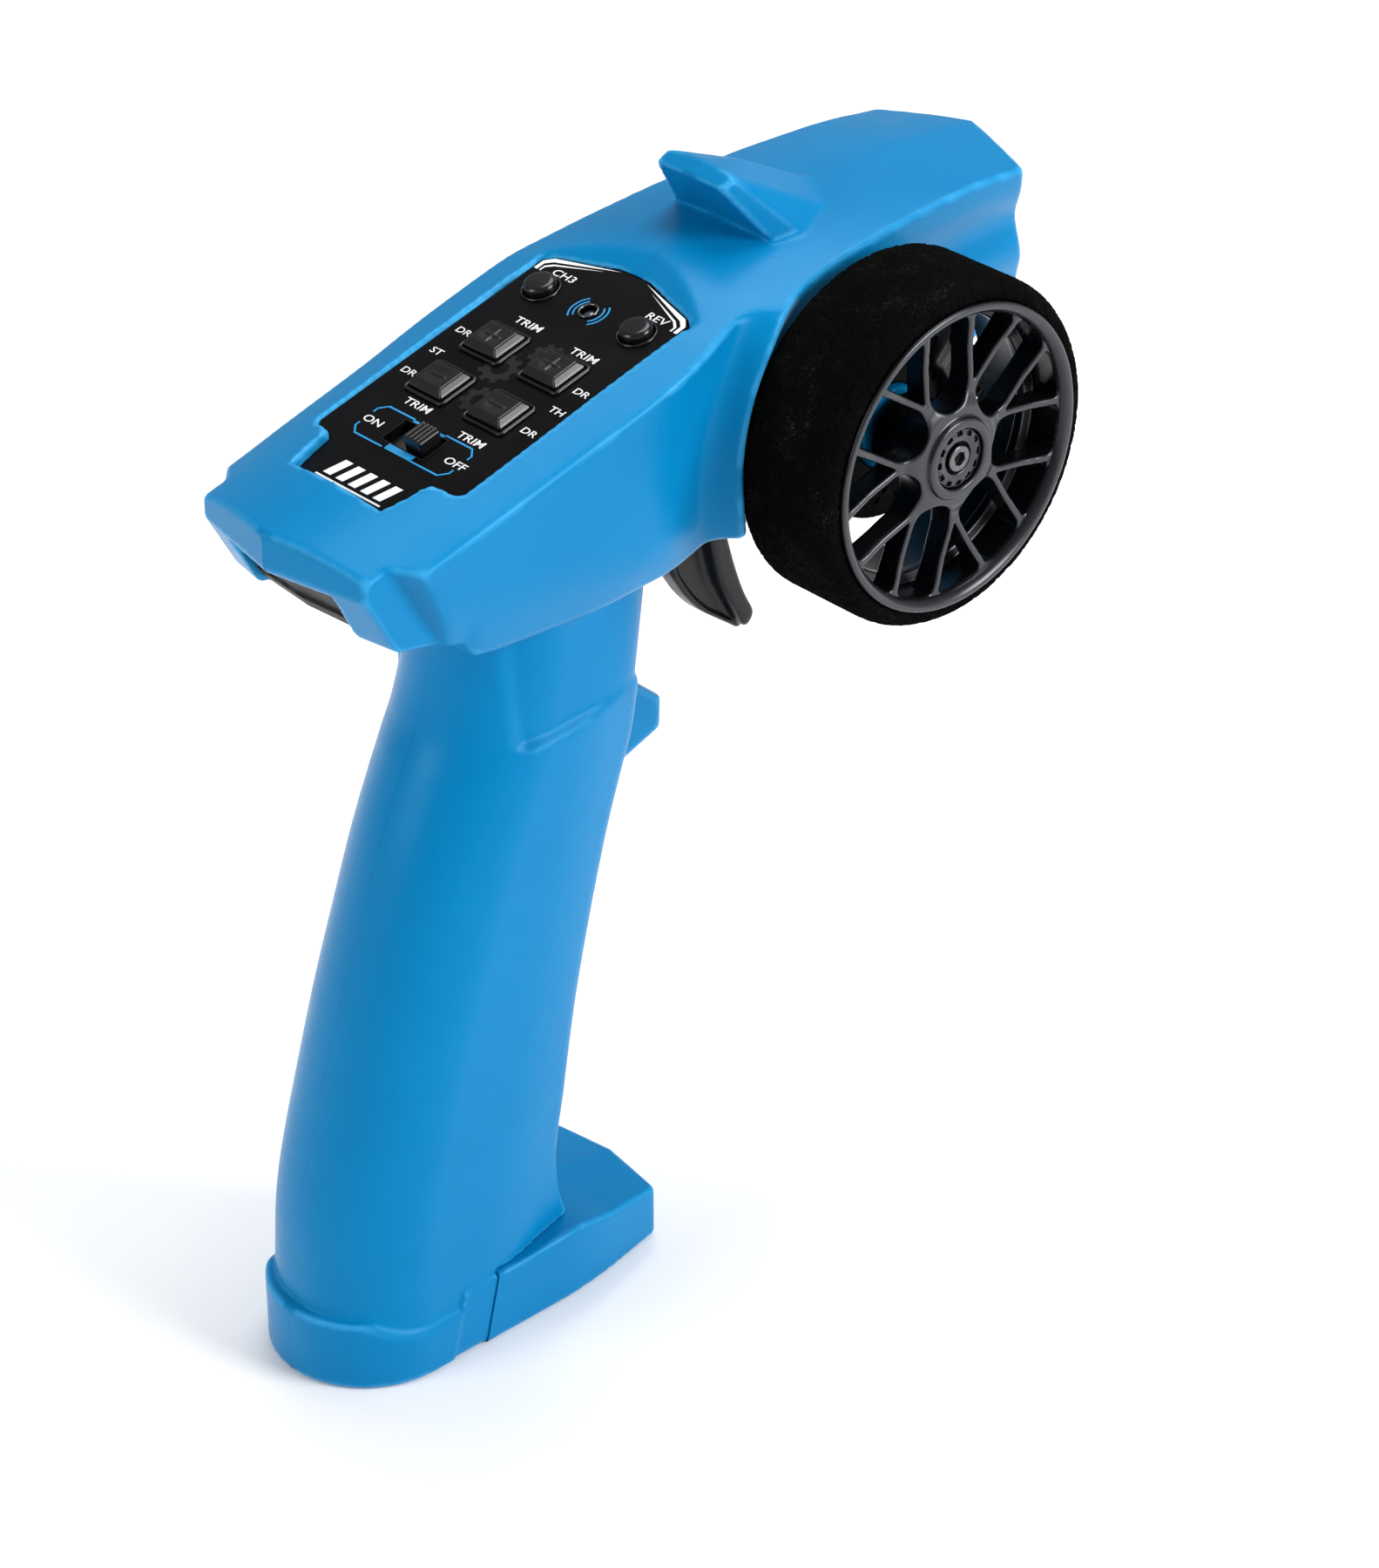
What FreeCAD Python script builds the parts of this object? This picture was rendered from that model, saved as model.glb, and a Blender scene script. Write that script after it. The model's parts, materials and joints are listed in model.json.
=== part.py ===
"""Pistol-grip radio transmitter: a two-half case with a steering wheel, a trigger and a control panel.

Frame: +Z up, +Y forward (towards the nose), +X to the right (the wheel's side). X = 0 is the plane
where the two case halves meet. The origin is on the flat underside of the foot. Millimetres.
"""
import FreeCAD, Part

import math
import os

import Sketcher
from FreeCAD import Placement, Rotation, Vector

doc = FreeCAD.newDocument("pistol_transmitter")

# ---------------------------------------------------------------- driving dimensions
DIMENSIONS = {
    "wall": 2.2,
    "grip_wall": 1.6,
    "foot_half_width": 16.4,
    "foot_rear_centre": -20.0,
    "foot_height": 13.0,
    "door_rear": -7.0,
    "door_front": 31.8,
    "panel_tilt": 15.5,
    "panel_start_y": -19.3,
    "panel_start_z": 154.8,
    "panel_thick": 1.5,
    "panel_half_width": 16.6,
    "panel_length": 61.8,
    "tongue_half_width": 10.2,
    "tongue_length": 9.6,
    "round_button_x": 11.0,
    "round_button_row": 51.7,
    "round_button_radius": 2.7,
    "trim_button_x": 6.8,
    "trim_upper_row": 38.1,
    "trim_lower_row": 26.7,
    "trim_width": 7.7,
    "trim_depth": 6.5,
    "bezel_wall": 0.7,
    "bezel_height": 0.7,
    "cap_gap": 0.15,
    "cap_height": 1.9,
    "stem_radius": 1.2,
    "stem_length": 2.6,
    "cap_skirt": 1.2,
    "switch_row": 15.3,
    "switch_slot_width": 9.4,
    "switch_slot_depth": 5.0,
    "knob_width": 4.2,
    "knob_depth": 4.2,
    "knob_height": 2.6,
    "knob_rest_x": 2.2,
    "knob_foot": 1.8,
    "led_radius": 1.3,
    "led_length": 6.0,
    "board_thick": 1.6,
    "board_depth": 8.0,
    "board_width": 33.0,
    "board_length": 50.0,
    "tact_side": 6.0,
    "tact_height": 3.2,
    "wheel_y": 68.0,
    "wheel_z": 146.7,
    "wheel_front": 44.0,
    "wheel_back": 25.0,
    "rim_radius": 25.5,
    "barrel_radius": 25.0,
    "rim_wall": 1.5,
    "foam_radius": 28.0,
    "spoke_back": 40.2,
    "hub_radius": 6.7,
    "hub_back": 30.5,
    "hub_recess": 42.0,
    "hub_recess_radius": 5.0,
    "spoke_count": 7,
    "first_window": 18.0,
    "window_outer": 23.3,
    "slot_inner": 8.1,
    "slot_half_width": 4.2,
    "vee_inner": 12.5,
    "vee_half_angle": 12.1,
    "shaft_radius": 2.5,
    "shaft_start": -7.0,
    "shaft_end": 41.0,
    "running_gap": 0.05,
    "fitted_gap": 0.02,
    "bush_radius": 4.5,
    "boss_radius": 7.0,
    "boss_end": 29.5,
    "drum_radius": 18.0,
    "disc_radius": 15.5,
    "disc_back": 27.0,
    "disc_thick": 1.2,
    "pot_radius": 8.0,
    "pot_front": -4.0,
    "pot_back": -14.0,
    "trigger_y": 49.0,
    "trigger_z": 146.0,
    "pin_radius": 1.5,
    "pin_half_length": 14.0,
    "pin_post_radius": 4.0,
    "trigger_hub_radius": 4.0,
    "flange_half_width": 4.5,
    "web_half_width": 1.6,
    "cell_radius": 7.0,
    "cell_length": 50.0,
    "cell_pitch": 14.05,
    "spacer_radius": 2.6,
    "cap_radius": 2.6,
    "tray_side": 22.5,
    "tray_y": -13.3,
    "tray_z": 14.6,
    "grip_lean": 12.0,
    "lead_radius": 1.0,
    "screw_radius": 1.1,
    "screw_head_radius": 2.4,
    "screw_boss_radius": 3.4,
}

sheet = doc.addObject("Spreadsheet::Sheet", "sizes")
for row, (alias, value) in enumerate(DIMENSIONS.items(), start=1):
    sheet.set(f"A{row}", alias)
    sheet.set(f"B{row}", str(value))
    sheet.setAlias(f"B{row}", alias)
doc.recompute()


def size(alias):
    """The present value of one cell of the sheet."""
    return float(sheet.get(alias))


WALL = size("wall")
GRIP_WALL = size("grip_wall")
SUBPARTS = []


# ---------------------------------------------------------------- helpers
def keep(thing, label):
    """Marks a finished sub-part, which is written to a file of its own."""
    thing.Label = label
    SUBPARTS.append(thing)
    return thing


def feature(label, shape, placement=None):
    """A sub-part whose shape is computed from the sheet's values."""
    thing = doc.addObject("Part::Feature", label + "_shape")
    thing.Shape = shape
    if placement is not None:
        thing.Placement = placement
    return keep(thing, label)


def body_plane(body, role):
    return next(plane for plane in body.Origin.OriginFeatures if plane.Role == role)


def new_body(name):
    return doc.addObject("PartDesign::Body", name)


def new_sketch(body, name, role, offset=None):
    """A sketch on one of the body's own origin planes, raised along its normal by an expression."""
    sketch = body.newObject("Sketcher::SketchObject", name)
    sketch.AttachmentSupport = [(body_plane(body, role), "")]
    sketch.MapMode = "FlatFace"
    if offset:
        sketch.setExpression(".AttachmentOffset.Base.z", offset)
    return sketch


def add_circle(sketch, radius_expression, centre=(0.0, 0.0), centre_expressions=None):
    """A circle with its radius, and where asked its centre, tied to the sheet."""
    index = sketch.addGeometry(Part.Circle(Vector(centre[0], centre[1], 0), Vector(0, 0, 1), 1.0))
    radius = sketch.addConstraint(Sketcher.Constraint("Radius", index, 1.0))
    sketch.setExpression(f"Constraints[{radius}]", radius_expression)
    if centre_expressions is None:
        sketch.addConstraint(Sketcher.Constraint("Coincident", index, 3, -1, 1))
        return
    for kind, start, expression in zip(("DistanceX", "DistanceY"), centre, centre_expressions):
        place = sketch.addConstraint(Sketcher.Constraint(kind, -1, 1, index, 3, start))
        sketch.setExpression(f"Constraints[{place}]", expression)


def add_rectangle(sketch, width_expression, height_expression, at=(0.0, 0.0)):
    """A rectangle about a fixed centre, its two sides tied to the sheet."""
    x, y = at
    signs = ((-1, -1), (1, -1), (1, 1), (-1, 1))
    corners = [Vector(x + right, y + up, 0) for right, up in signs]
    sides = [
        sketch.addGeometry(Part.LineSegment(corners[i], corners[(i + 1) % 4]))
        for i in range(4)
    ]
    for i in range(4):
        sketch.addConstraint(Sketcher.Constraint("Coincident", sides[i], 2, sides[(i + 1) % 4], 1))
    for i, kind in enumerate(("Horizontal", "Vertical", "Horizontal", "Vertical")):
        sketch.addConstraint(Sketcher.Constraint(kind, sides[i]))
    limits = (("DistanceX", x, width_expression), ("DistanceY", y, height_expression))
    for kind, middle, expression in limits:
        low = sketch.addConstraint(Sketcher.Constraint(kind, -1, 1, sides[0], 1, middle - 1))
        high = sketch.addConstraint(Sketcher.Constraint(kind, -1, 1, sides[1], 2, middle + 1))
        sketch.setExpression(f"Constraints[{low}]", f"{middle} - ({expression}) / 2")
        sketch.setExpression(f"Constraints[{high}]", f"{middle} + ({expression}) / 2")


def add_outline(sketch, points):
    """A closed outline of straight sides."""
    count = len(points)
    corners = [Vector(x, y, 0) for x, y in points]
    sides = [
        sketch.addGeometry(Part.LineSegment(corners[i], corners[(i + 1) % count]))
        for i in range(count)
    ]
    for i in range(count):
        sketch.addConstraint(Sketcher.Constraint("Coincident", sides[i], 2, sides[(i + 1) % count], 1))


def pad(body, sketch, length, reverse=False, both=False):
    block = body.newObject("PartDesign::Pad", sketch.Name + "_pad")
    block.Profile = sketch
    block.setExpression("Length", length)
    block.Reversed = reverse
    block.Midplane = both
    body.Tip = block
    doc.recompute()
    return block


def pocket(body, sketch, length, reverse=False, both=False):
    """A pocket that must remove material, or the build stops."""
    before = body.Shape.Volume
    hole = body.newObject("PartDesign::Pocket", sketch.Name + "_pocket")
    hole.Profile = sketch
    hole.setExpression("Length", length)
    hole.Reversed = reverse
    hole.Midplane = both
    body.Tip = hole
    doc.recompute()
    if not body.Shape.Volume < before - 1e-6:
        raise RuntimeError(f"{sketch.Name} cut nothing")
    return hole


def revolve(body, sketch):
    """Turns a profile, drawn with the axis along the sketch's own X axis, into a full ring or shaft."""
    ring = body.newObject("PartDesign::Revolution", sketch.Name + "_turn")
    ring.Profile = sketch
    ring.ReferenceAxis = (sketch, ["H_Axis"])
    ring.Angle = 360
    body.Tip = ring
    doc.recompute()
    return ring


def turned(label, profile, centre_y="sizes.wheel_y", centre_z="sizes.wheel_z"):
    """A body turned about an axis along X; profile points are (x, radius)."""
    body = new_body(label + "_body")
    sketch = new_sketch(body, label + "_profile", "XZ_Plane")
    add_outline(sketch, profile)
    revolve(body, sketch)
    body.setExpression(".Placement.Base.y", centre_y)
    body.setExpression(".Placement.Base.z", centre_z)
    return body


def on_panel(thing):
    """Stands a body on the tilted panel: its local X is across, Y up the slope, Z out of the panel."""
    thing.setExpression(".Placement.Base.y", "sizes.panel_start_y")
    thing.setExpression(".Placement.Base.z", "sizes.panel_start_z")
    thing.Placement = Placement(
        Vector(0, size("panel_start_y"), size("panel_start_z")),
        Rotation(Vector(1, 0, 0), size("panel_tilt")),
    )
    thing.setExpression(".Placement.Rotation.Angle", "sizes.panel_tilt")


def panel_placement():
    return Placement(
        Vector(0, size("panel_start_y"), size("panel_start_z")),
        Rotation(Vector(1, 0, 0), size("panel_tilt")),
    )


def prism(points, start, end, axis):
    """A straight block with a polygon section, drawn in the two other axes in X, Y, Z order."""
    def place(a, b, level):
        return {"x": Vector(level, a, b), "y": Vector(a, level, b), "z": Vector(a, b, level)}[axis]

    corners = [place(a, b, start) for a, b in points]
    face = Part.Face(Part.makePolygon(corners + corners[:1]))
    return face.extrude(place(0, 0, end - start))


def tube_x(radius, start, end, y, z):
    """A round bar along X."""
    return Part.makeCylinder(radius, end - start, Vector(start, y, z), Vector(1, 0, 0))


def mirrored(points):
    """Completes an outline that is the same on both sides of X = 0."""
    return points + [(-x, y) for x, y in reversed(points) if x > 0]


# ---------------------------------------------------------------- the case
# Stations of the head along Y: height of the middle of the top, then half width and height of the
# top edge, of the crease along the side and of the lower lip.
HEAD_STATIONS = (
    (-36.0, 153.2, (23.0, 148.7), (21.5, 144.0), (17.0, 139.8)),
    (-23.0, 156.6, (23.1, 152.3), (22.0, 142.5), (19.8, 137.5)),
    (-10.0, 160.3, (23.9, 156.1), (22.3, 141.0), (20.0, 131.3)),
    (20.0, 168.4, (24.5, 164.5), (23.0, 138.8), (20.5, 131.2)),
    (37.0, 173.0, (23.8, 168.9), (24.3, 139.5), (23.0, 134.5)),
    (47.0, 174.8, (22.2, 171.1), (23.0, 141.5), (21.8, 136.0)),
    (61.0, 176.2, (21.1, 173.1), (20.6, 146.0), (19.4, 136.5)),
    (76.0, 177.2, (19.5, 174.8), (19.0, 150.0), (18.0, 138.0)),
    (95.0, 177.2, (18.0, 175.2), (16.6, 158.0), (15.5, 143.5)),
    (118.0, 175.4, (16.4, 173.4), (13.8, 161.0), (13.0, 153.5)),
)
CROWN_REACH = 0.55
CROWN_DROP = 0.25


def head_plan(inset):
    """The head from above: a shallow V at the tail, straight sides and a V at the nose."""
    right = [
        (0.0, -34.0 + inset),
        (18.6 - inset, -30.4 + inset),
        (18.9 - inset, -26.5 + inset),
        (23.2 - inset, -23.0 + inset),
        (24.6 - inset, 20.0),
        (24.6 - inset, 38.0),
        (21.3 - inset, 61.0),
        (18.0 - inset, 95.0),
        (16.6 - inset, 109.2 - inset),
        (0.0, 114.8 - 1.2 * inset),
    ]
    return mirrored(right)


def head_solid(inset):
    """The head's volume, shrunk by the wall where it is the inside."""
    sections = []
    for y, top, edge, crease, lip in HEAD_STATIONS:
        rise = top - edge[1]
        half = [
            (0.0, top - inset),
            (CROWN_REACH * edge[0], top - CROWN_DROP * rise - inset),
            (edge[0] - inset, edge[1] - inset),
            (crease[0] - inset, crease[1]),
            (lip[0] - inset, lip[1] + inset),
        ]
        outline = mirrored(half)
        corners = [Vector(x, y, z) for x, z in outline]
        sections.append(Part.makePolygon(corners + corners[:1]))
    loft = Part.makeLoft(sections, True, True)
    return loft.common(prism(head_plan(inset), 100, 200, "z"))


# Stations of the grip: height, rearmost and foremost Y, half width.
GRIP_STATIONS = (
    (-2.0, -36.0, 6.0, 15.9),
    (13.0, -35.2, 11.0, 15.9),
    (27.0, -33.6, 12.5, 15.9),
    (47.0, -29.6, 16.0, 15.9),
    (76.0, -21.0, 21.5, 16.0),
    (98.0, -11.5, 26.5, 16.0),
    (112.0, -4.6, 29.5, 15.8),
    (124.0, -2.6, 31.5, 15.8),
    (140.0, -2.0, 34.0, 15.8),
)
GRIP_FRONT_ROUND = 6.0


def grip_section(z, rear, front, half, inset):
    """Round at the back, straight at the sides, with rounded corners in front."""
    a = half - inset
    back = rear + inset
    nose = front - inset
    r = GRIP_FRONT_ROUND - inset / 2
    side_rear = rear + half
    slant = math.sqrt(0.5)
    middle = side_rear - (side_rear - back) * slant
    corner = (a - r + r * slant, nose - r + r * slant)
    edges = [
        Part.Arc(Vector(-a, side_rear, z), Vector(-a * slant, middle, z), Vector(0, back, z)),
        Part.Arc(Vector(0, back, z), Vector(a * slant, middle, z), Vector(a, side_rear, z)),
        Part.LineSegment(Vector(a, side_rear, z), Vector(a, nose - r, z)),
        Part.Arc(Vector(a, nose - r, z), Vector(corner[0], corner[1], z), Vector(a - r, nose, z)),
        Part.LineSegment(Vector(a - r, nose, z), Vector(r - a, nose, z)),
        Part.Arc(Vector(r - a, nose, z), Vector(-corner[0], corner[1], z), Vector(-a, nose - r, z)),
        Part.LineSegment(Vector(-a, nose - r, z), Vector(-a, side_rear, z)),
    ]
    return Part.Wire([edge.toShape() for edge in edges])


def grip_solid(inset):
    wires = [grip_section(z, rear, front, half, inset) for z, rear, front, half in GRIP_STATIONS]
    return Part.makeLoft(wires, True, False)


def foot_outline(inset):
    """The foot from below: half round at the back, tapering to a shallow V in front."""
    half = size("foot_half_width") - inset
    centre = size("foot_rear_centre")
    front = size("door_front") - inset
    round_end = [
        (half * math.cos(angle), centre + half * math.sin(angle))
        for angle in (math.radians(-90 + 15 * step) for step in range(7))
    ]
    toe = [(half, 13.5), (12.9 - inset, front - 1.8), (0.0, front)]
    return mirrored([(0.0, round_end[0][1])] + round_end[1:] + toe)


def horn_solid():
    """The aerial housing on top: it leans back, and widens towards its base."""
    top_z, base_z = 186.4, 171.0
    top = [(7.4, 51.2), (7.5, 53.8), (4.5, 54.6)]
    base = [(11.0, 61.5), (12.2, 66.0), (8.4, 77.5)]
    wires = []
    for outline, level in ((top, top_z), (base, base_z)):
        ring = [Vector(x, y, level) for x, y in outline]
        ring += [Vector(-p.x, p.y, p.z) for p in reversed(ring)]
        wires.append(Part.makePolygon(ring + ring[:1]))
    return Part.makeLoft(wires, True, True)


def nub_solid():
    """The finger rest in front of the grip, below the trigger."""
    side = [(26.0, 84.0), (37.0, 86.5), (43.9, 91.0), (43.9, 95.0), (39.0, 99.5), (26.0, 101.0)]
    return prism(side, -5.5, 5.5, "x")


def case_solid():
    wheel_y, wheel_z = size("wheel_y"), size("wheel_z")
    foot = prism(foot_outline(0.0), 0, size("foot_height"), "z")
    behind_door = Part.makeBox(60, 60, 20, Vector(-30, size("door_rear") - 60, 0))
    above_foot = Part.makeBox(80, 200, 300, Vector(-40, -100, size("foot_height") + 0.3))
    grip = grip_solid(0.0)
    grip = grip.common(behind_door).fuse(grip.common(above_foot).fuse(grip.common(foot.common(behind_door))))
    drum = tube_x(size("drum_radius"), -17.0, 19.0, wheel_y, wheel_z)
    outer = head_solid(0.0).fuse([grip, foot.common(behind_door), horn_solid(), nub_solid(), drum])
    boss = tube_x(size("boss_radius"), 10.0, size("boss_end"), wheel_y, wheel_z)
    outer = outer.fuse(boss)

    grip_inside = grip_solid(GRIP_WALL).common(Part.makeBox(80, 200, 150, Vector(-40, -100, WALL)))
    foot_inside = prism(foot_outline(WALL), WALL, size("foot_height") - WALL, "z")
    drum_inside = tube_x(size("drum_radius") - WALL, -17.0 + WALL, 19.0 - WALL, wheel_y, wheel_z)
    inner = head_solid(WALL).fuse([grip_inside, drum_inside])
    inner = inner.fuse(foot_inside.common(behind_door))
    return outer, inner


def panel_outline(grow):
    """The control panel: a wide field, a narrow tongue at the back and a point in front."""
    half, length = size("panel_half_width") + grow, size("panel_length") + grow
    tongue, shoulder = size("tongue_half_width") + grow, size("tongue_length") - grow
    right = [
        (tongue, -grow),
        (tongue + 1.0, shoulder - 5.0),
        (tongue + 1.6, shoulder - 1.0),
        (half - 0.6, shoulder),
        (half, shoulder + 1.0),
        (half, length - 4.6),
        (half - 1.8, length - 3.2),
        (2.6, length),
    ]
    return right + [(-x, y) for x, y in reversed(right)]


# Each case screw: Y, Z and where the left half's outer face lies.
SCREWS = (
    (-11.0, 141.5, -22.0),
    (100.0, 163.0, -16.5),
    (6.0, 112.0, -15.9),
    (-3.0, 78.0, -16.0),
    (31.0, 143.0, -23.4),
)
SCREW_REACH = 9.0
SCREW_SEAT = 2.4
SCREW_HEAD = 1.6


def bosses():
    """The posts that the case screws pass through, one for each screw and side."""
    posts = []
    for y, z, face in SCREWS:
        posts.append(tube_x(size("screw_boss_radius"), face + 0.6, -face - 0.6, y, z))
    return posts


def pin_posts():
    """The two posts that hold the ends of the trigger's pin; the left one leaves room for the sensor."""
    radius, y, z = size("pin_post_radius"), size("trigger_y"), size("trigger_z")
    return [tube_x(radius, -21.5, -11.0, y, z), tube_x(radius, 8.6, 21.5, y, z)]


REAR_OPENING = [(-13.2, 137.0), (13.2, 137.0), (14.2, 144.5), (0.0, 146.8), (-14.2, 144.5)]


def make_case():
    outer, inner = case_solid()
    case = outer.cut(inner)
    posts = [post.common(outer) for post in bosses() + pin_posts()]
    case = case.fuse(posts)
    gap = size("fitted_gap")
    wheel_y, wheel_z = size("wheel_y"), size("wheel_z")
    cuts = []
    # The seat of the control panel, and the window under it for stems, switch and lamp.
    seat = prism(panel_outline(0.15), -size("panel_thick"), 8.0, "z")
    window = prism(panel_outline(-2.5), -9.0, 1.0, "z")
    for cut in (seat, window):
        cut.Placement = panel_placement()
        cuts.append(cut)
    # The opening in the back end, which the black insert fills.
    cuts.append(prism(REAR_OPENING, -40.0, -20.0, "y"))
    # The slot that the trigger swings in.
    cuts.append(Part.makeBox(10.6, 26.0, 12.0, Vector(-5.3, 38.0, 124.0)))
    cuts.append(Part.makeBox(10.6, 26.0, 9.0, Vector(-5.3, 38.0, 135.5)))
    # The bore for the shaft's bush.
    cuts.append(tube_x(size("bush_radius") + gap, -1.0, size("boss_end") + 1.0, wheel_y, wheel_z))
    # The bores that the trigger's pin is held in.
    reach = size("pin_half_length") + 0.2
    cuts.append(tube_x(size("pin_radius") + gap, -reach, reach, size("trigger_y"), size("trigger_z")))
    for y, z, face in SCREWS:
        cuts.append(tube_x(size("screw_head_radius") + 0.25, -30.0, face + SCREW_SEAT, y, z))
        cuts.append(tube_x(size("screw_radius") + 0.3, -30.0, 0.0, y, z))
        cuts.append(tube_x(size("screw_radius") + gap, -1.0, SCREW_REACH + 0.4, y, z))
    for cut in cuts:
        case = case.cut(cut)
    left = case.common(Part.makeBox(60, 240, 240, Vector(-60, -80, -10)))
    right = case.common(Part.makeBox(60, 240, 240, Vector(0, -80, -10)))
    return left.removeSplitter(), right.removeSplitter()


def largest_solid(shape):
    return max(shape.Solids, key=lambda solid: solid.Volume)


left_case, right_case = make_case()
feature("left_shell", largest_solid(left_case))
feature("right_shell", largest_solid(right_case))


# ---------------------------------------------------------------- battery door and back insert
def door_shape():
    """The foot's front part: an open tray under the grip with a closed, sloping toe."""
    rear = size("door_rear") + 0.3
    floor, top = 2.0, size("foot_height") - 0.3
    side = [(rear, 0.0), (60.0, 0.0), (60.0, 4.4), (31.8, 9.4), (14.0, top), (rear, top)]
    outer = prism(foot_outline(0.0), 0.0, top, "z").common(prism(side, -30.0, 30.0, "x"))
    hollow = [(rear - 1, floor), (29.0, floor), (29.0, 7.0), (13.0, 10.5)]
    hollow += [(11.5, 10.5), (11.5, 20.0), (rear - 1, 20.0)]
    inner = prism(foot_outline(WALL), floor, 20.0, "z").common(prism(hollow, -30.0, 30.0, "x"))
    return outer.cut(inner)


feature("battery_door", door_shape())

INSERT_FACE = [(-12.9, 137.3), (12.9, 137.3), (13.9, 144.3), (0.0, 146.5), (-13.9, 144.3)]
feature("rear_insert", prism(INSERT_FACE, -29.0, -25.0, "y"))


# ---------------------------------------------------------------- control panel
TRIM_BUTTONS = (
    ("steering_trim_plus", -1, "trim_upper_row"),
    ("steering_trim_minus", -1, "trim_lower_row"),
    ("throttle_trim_plus", 1, "trim_upper_row"),
    ("throttle_trim_minus", 1, "trim_lower_row"),
)
ROUND_BUTTONS = (("channel_button", -1), ("reverse_button", 1))


def make_label_panel():
    body = new_body("label_panel_body")
    outline = new_sketch(body, "panel_field", "XY_Plane")
    add_outline(outline, panel_outline(0.0))
    pad(body, outline, "sizes.panel_thick", reverse=True)
    holes = new_sketch(body, "panel_round_holes", "XY_Plane", "1")
    for _, side in ROUND_BUTTONS:
        add_circle(
            holes,
            "sizes.round_button_radius + sizes.cap_gap",
            (side * size("round_button_x"), size("round_button_row")),
            (f"{side} * sizes.round_button_x", "sizes.round_button_row"),
        )
    add_circle(
        holes,
        "sizes.led_radius + sizes.cap_gap",
        (0.0, size("round_button_row")),
        ("0", "sizes.round_button_row"),
    )
    pocket(body, holes, "sizes.panel_thick + 2")
    windows = new_sketch(body, "panel_windows", "XY_Plane", "1")
    for _, side, row_name in TRIM_BUTTONS:
        add_rectangle(
            windows,
            "sizes.trim_width + 2 * sizes.cap_gap",
            "sizes.trim_depth + 2 * sizes.cap_gap",
            (side * size("trim_button_x"), size(row_name)),
        )
    add_rectangle(windows, "sizes.switch_slot_width", "sizes.switch_slot_depth", (0.0, size("switch_row")))
    pocket(body, windows, "sizes.panel_thick + 2")
    on_panel(body)
    return keep(body, "label_panel")


def make_trim_button(label, side, row_name):
    """A bevelled key with a stem that reaches down to its switch."""
    x, y = side * size("trim_button_x"), size(row_name)
    body = new_body(label + "_body")
    cap = new_sketch(body, label + "_cap", "XY_Plane", "-sizes.cap_skirt")
    add_rectangle(cap, "sizes.trim_width", "sizes.trim_depth", (x, y))
    block = pad(body, cap, "sizes.cap_skirt + sizes.cap_height")
    bevel = body.newObject("PartDesign::Chamfer", label + "_bevel")
    top = max(range(len(block.Shape.Faces)), key=lambda i: block.Shape.Faces[i].CenterOfMass.z)
    bevel.Base = (block, [f"Face{top + 1}"])
    bevel.Size = 0.8
    body.Tip = bevel
    stem = new_sketch(body, label + "_stem", "XY_Plane", "-sizes.cap_skirt")
    add_circle(stem, "sizes.stem_radius", (x, y), (f"{side} * sizes.trim_button_x", f"sizes.{row_name}"))
    pad(body, stem, "sizes.stem_length", reverse=True)
    on_panel(body)
    return keep(body, label)


def make_round_button(label, side):
    x, y = side * size("round_button_x"), size("round_button_row")
    centre = (f"{side} * sizes.round_button_x", "sizes.round_button_row")
    body = new_body(label + "_body")
    cap = new_sketch(body, label + "_cap", "XY_Plane", "-sizes.cap_skirt")
    add_circle(cap, "sizes.round_button_radius", (x, y), centre)
    block = pad(body, cap, "sizes.cap_skirt + sizes.cap_height")
    bevel = body.newObject("PartDesign::Fillet", label + "_round")
    top = max(range(len(block.Shape.Faces)), key=lambda i: block.Shape.Faces[i].CenterOfMass.z)
    bevel.Base = (block, [f"Face{top + 1}"])
    bevel.Radius = 0.7
    body.Tip = bevel
    stem = new_sketch(body, label + "_stem", "XY_Plane", "-sizes.cap_skirt")
    add_circle(stem, "sizes.stem_radius", (x, y), centre)
    pad(body, stem, "sizes.stem_length", reverse=True)
    on_panel(body)
    return keep(body, label)


def plate(width, depth, low, high, x, y):
    """A flat block about (x, y), in the panel's own axes."""
    return Part.makeBox(width, depth, high - low, Vector(x - width / 2, y - depth / 2, low))


def ring(outer, inner, low, high, x, y):
    bar = Part.makeCylinder(outer, high - low, Vector(x, y, low))
    return bar.cut(Part.makeCylinder(inner, high - low + 2, Vector(x, y, low - 1)))


def make_bezels():
    """Raised frames round the four trim keys and rings round the two push buttons and the lamp."""
    gap, wall, top = size("cap_gap"), size("bezel_wall"), size("bezel_height")
    frames = []
    for _, side, row_name in TRIM_BUTTONS:
        x, y = side * size("trim_button_x"), size(row_name)
        width, depth = size("trim_width") + 2 * gap, size("trim_depth") + 2 * gap
        frame = plate(width + 2 * wall, depth + 2 * wall, 0.0, top, x, y)
        frames.append(frame.cut(plate(width, depth, -1.0, top + 1.0, x, y)))
    feature("trim_bezels", Part.makeCompound(frames), panel_placement())
    radius, row_y = size("round_button_radius") + gap, size("round_button_row")
    rings = [
        ring(radius + 0.4, radius, 0.0, 0.4, side * size("round_button_x"), row_y)
        for _, side in ROUND_BUTTONS
    ]
    lamp = size("led_radius") + gap
    rings.append(ring(lamp + 0.3, lamp, 0.0, 0.3, 0.0, row_y))
    feature("button_rings", Part.makeCompound(rings), panel_placement())


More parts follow.
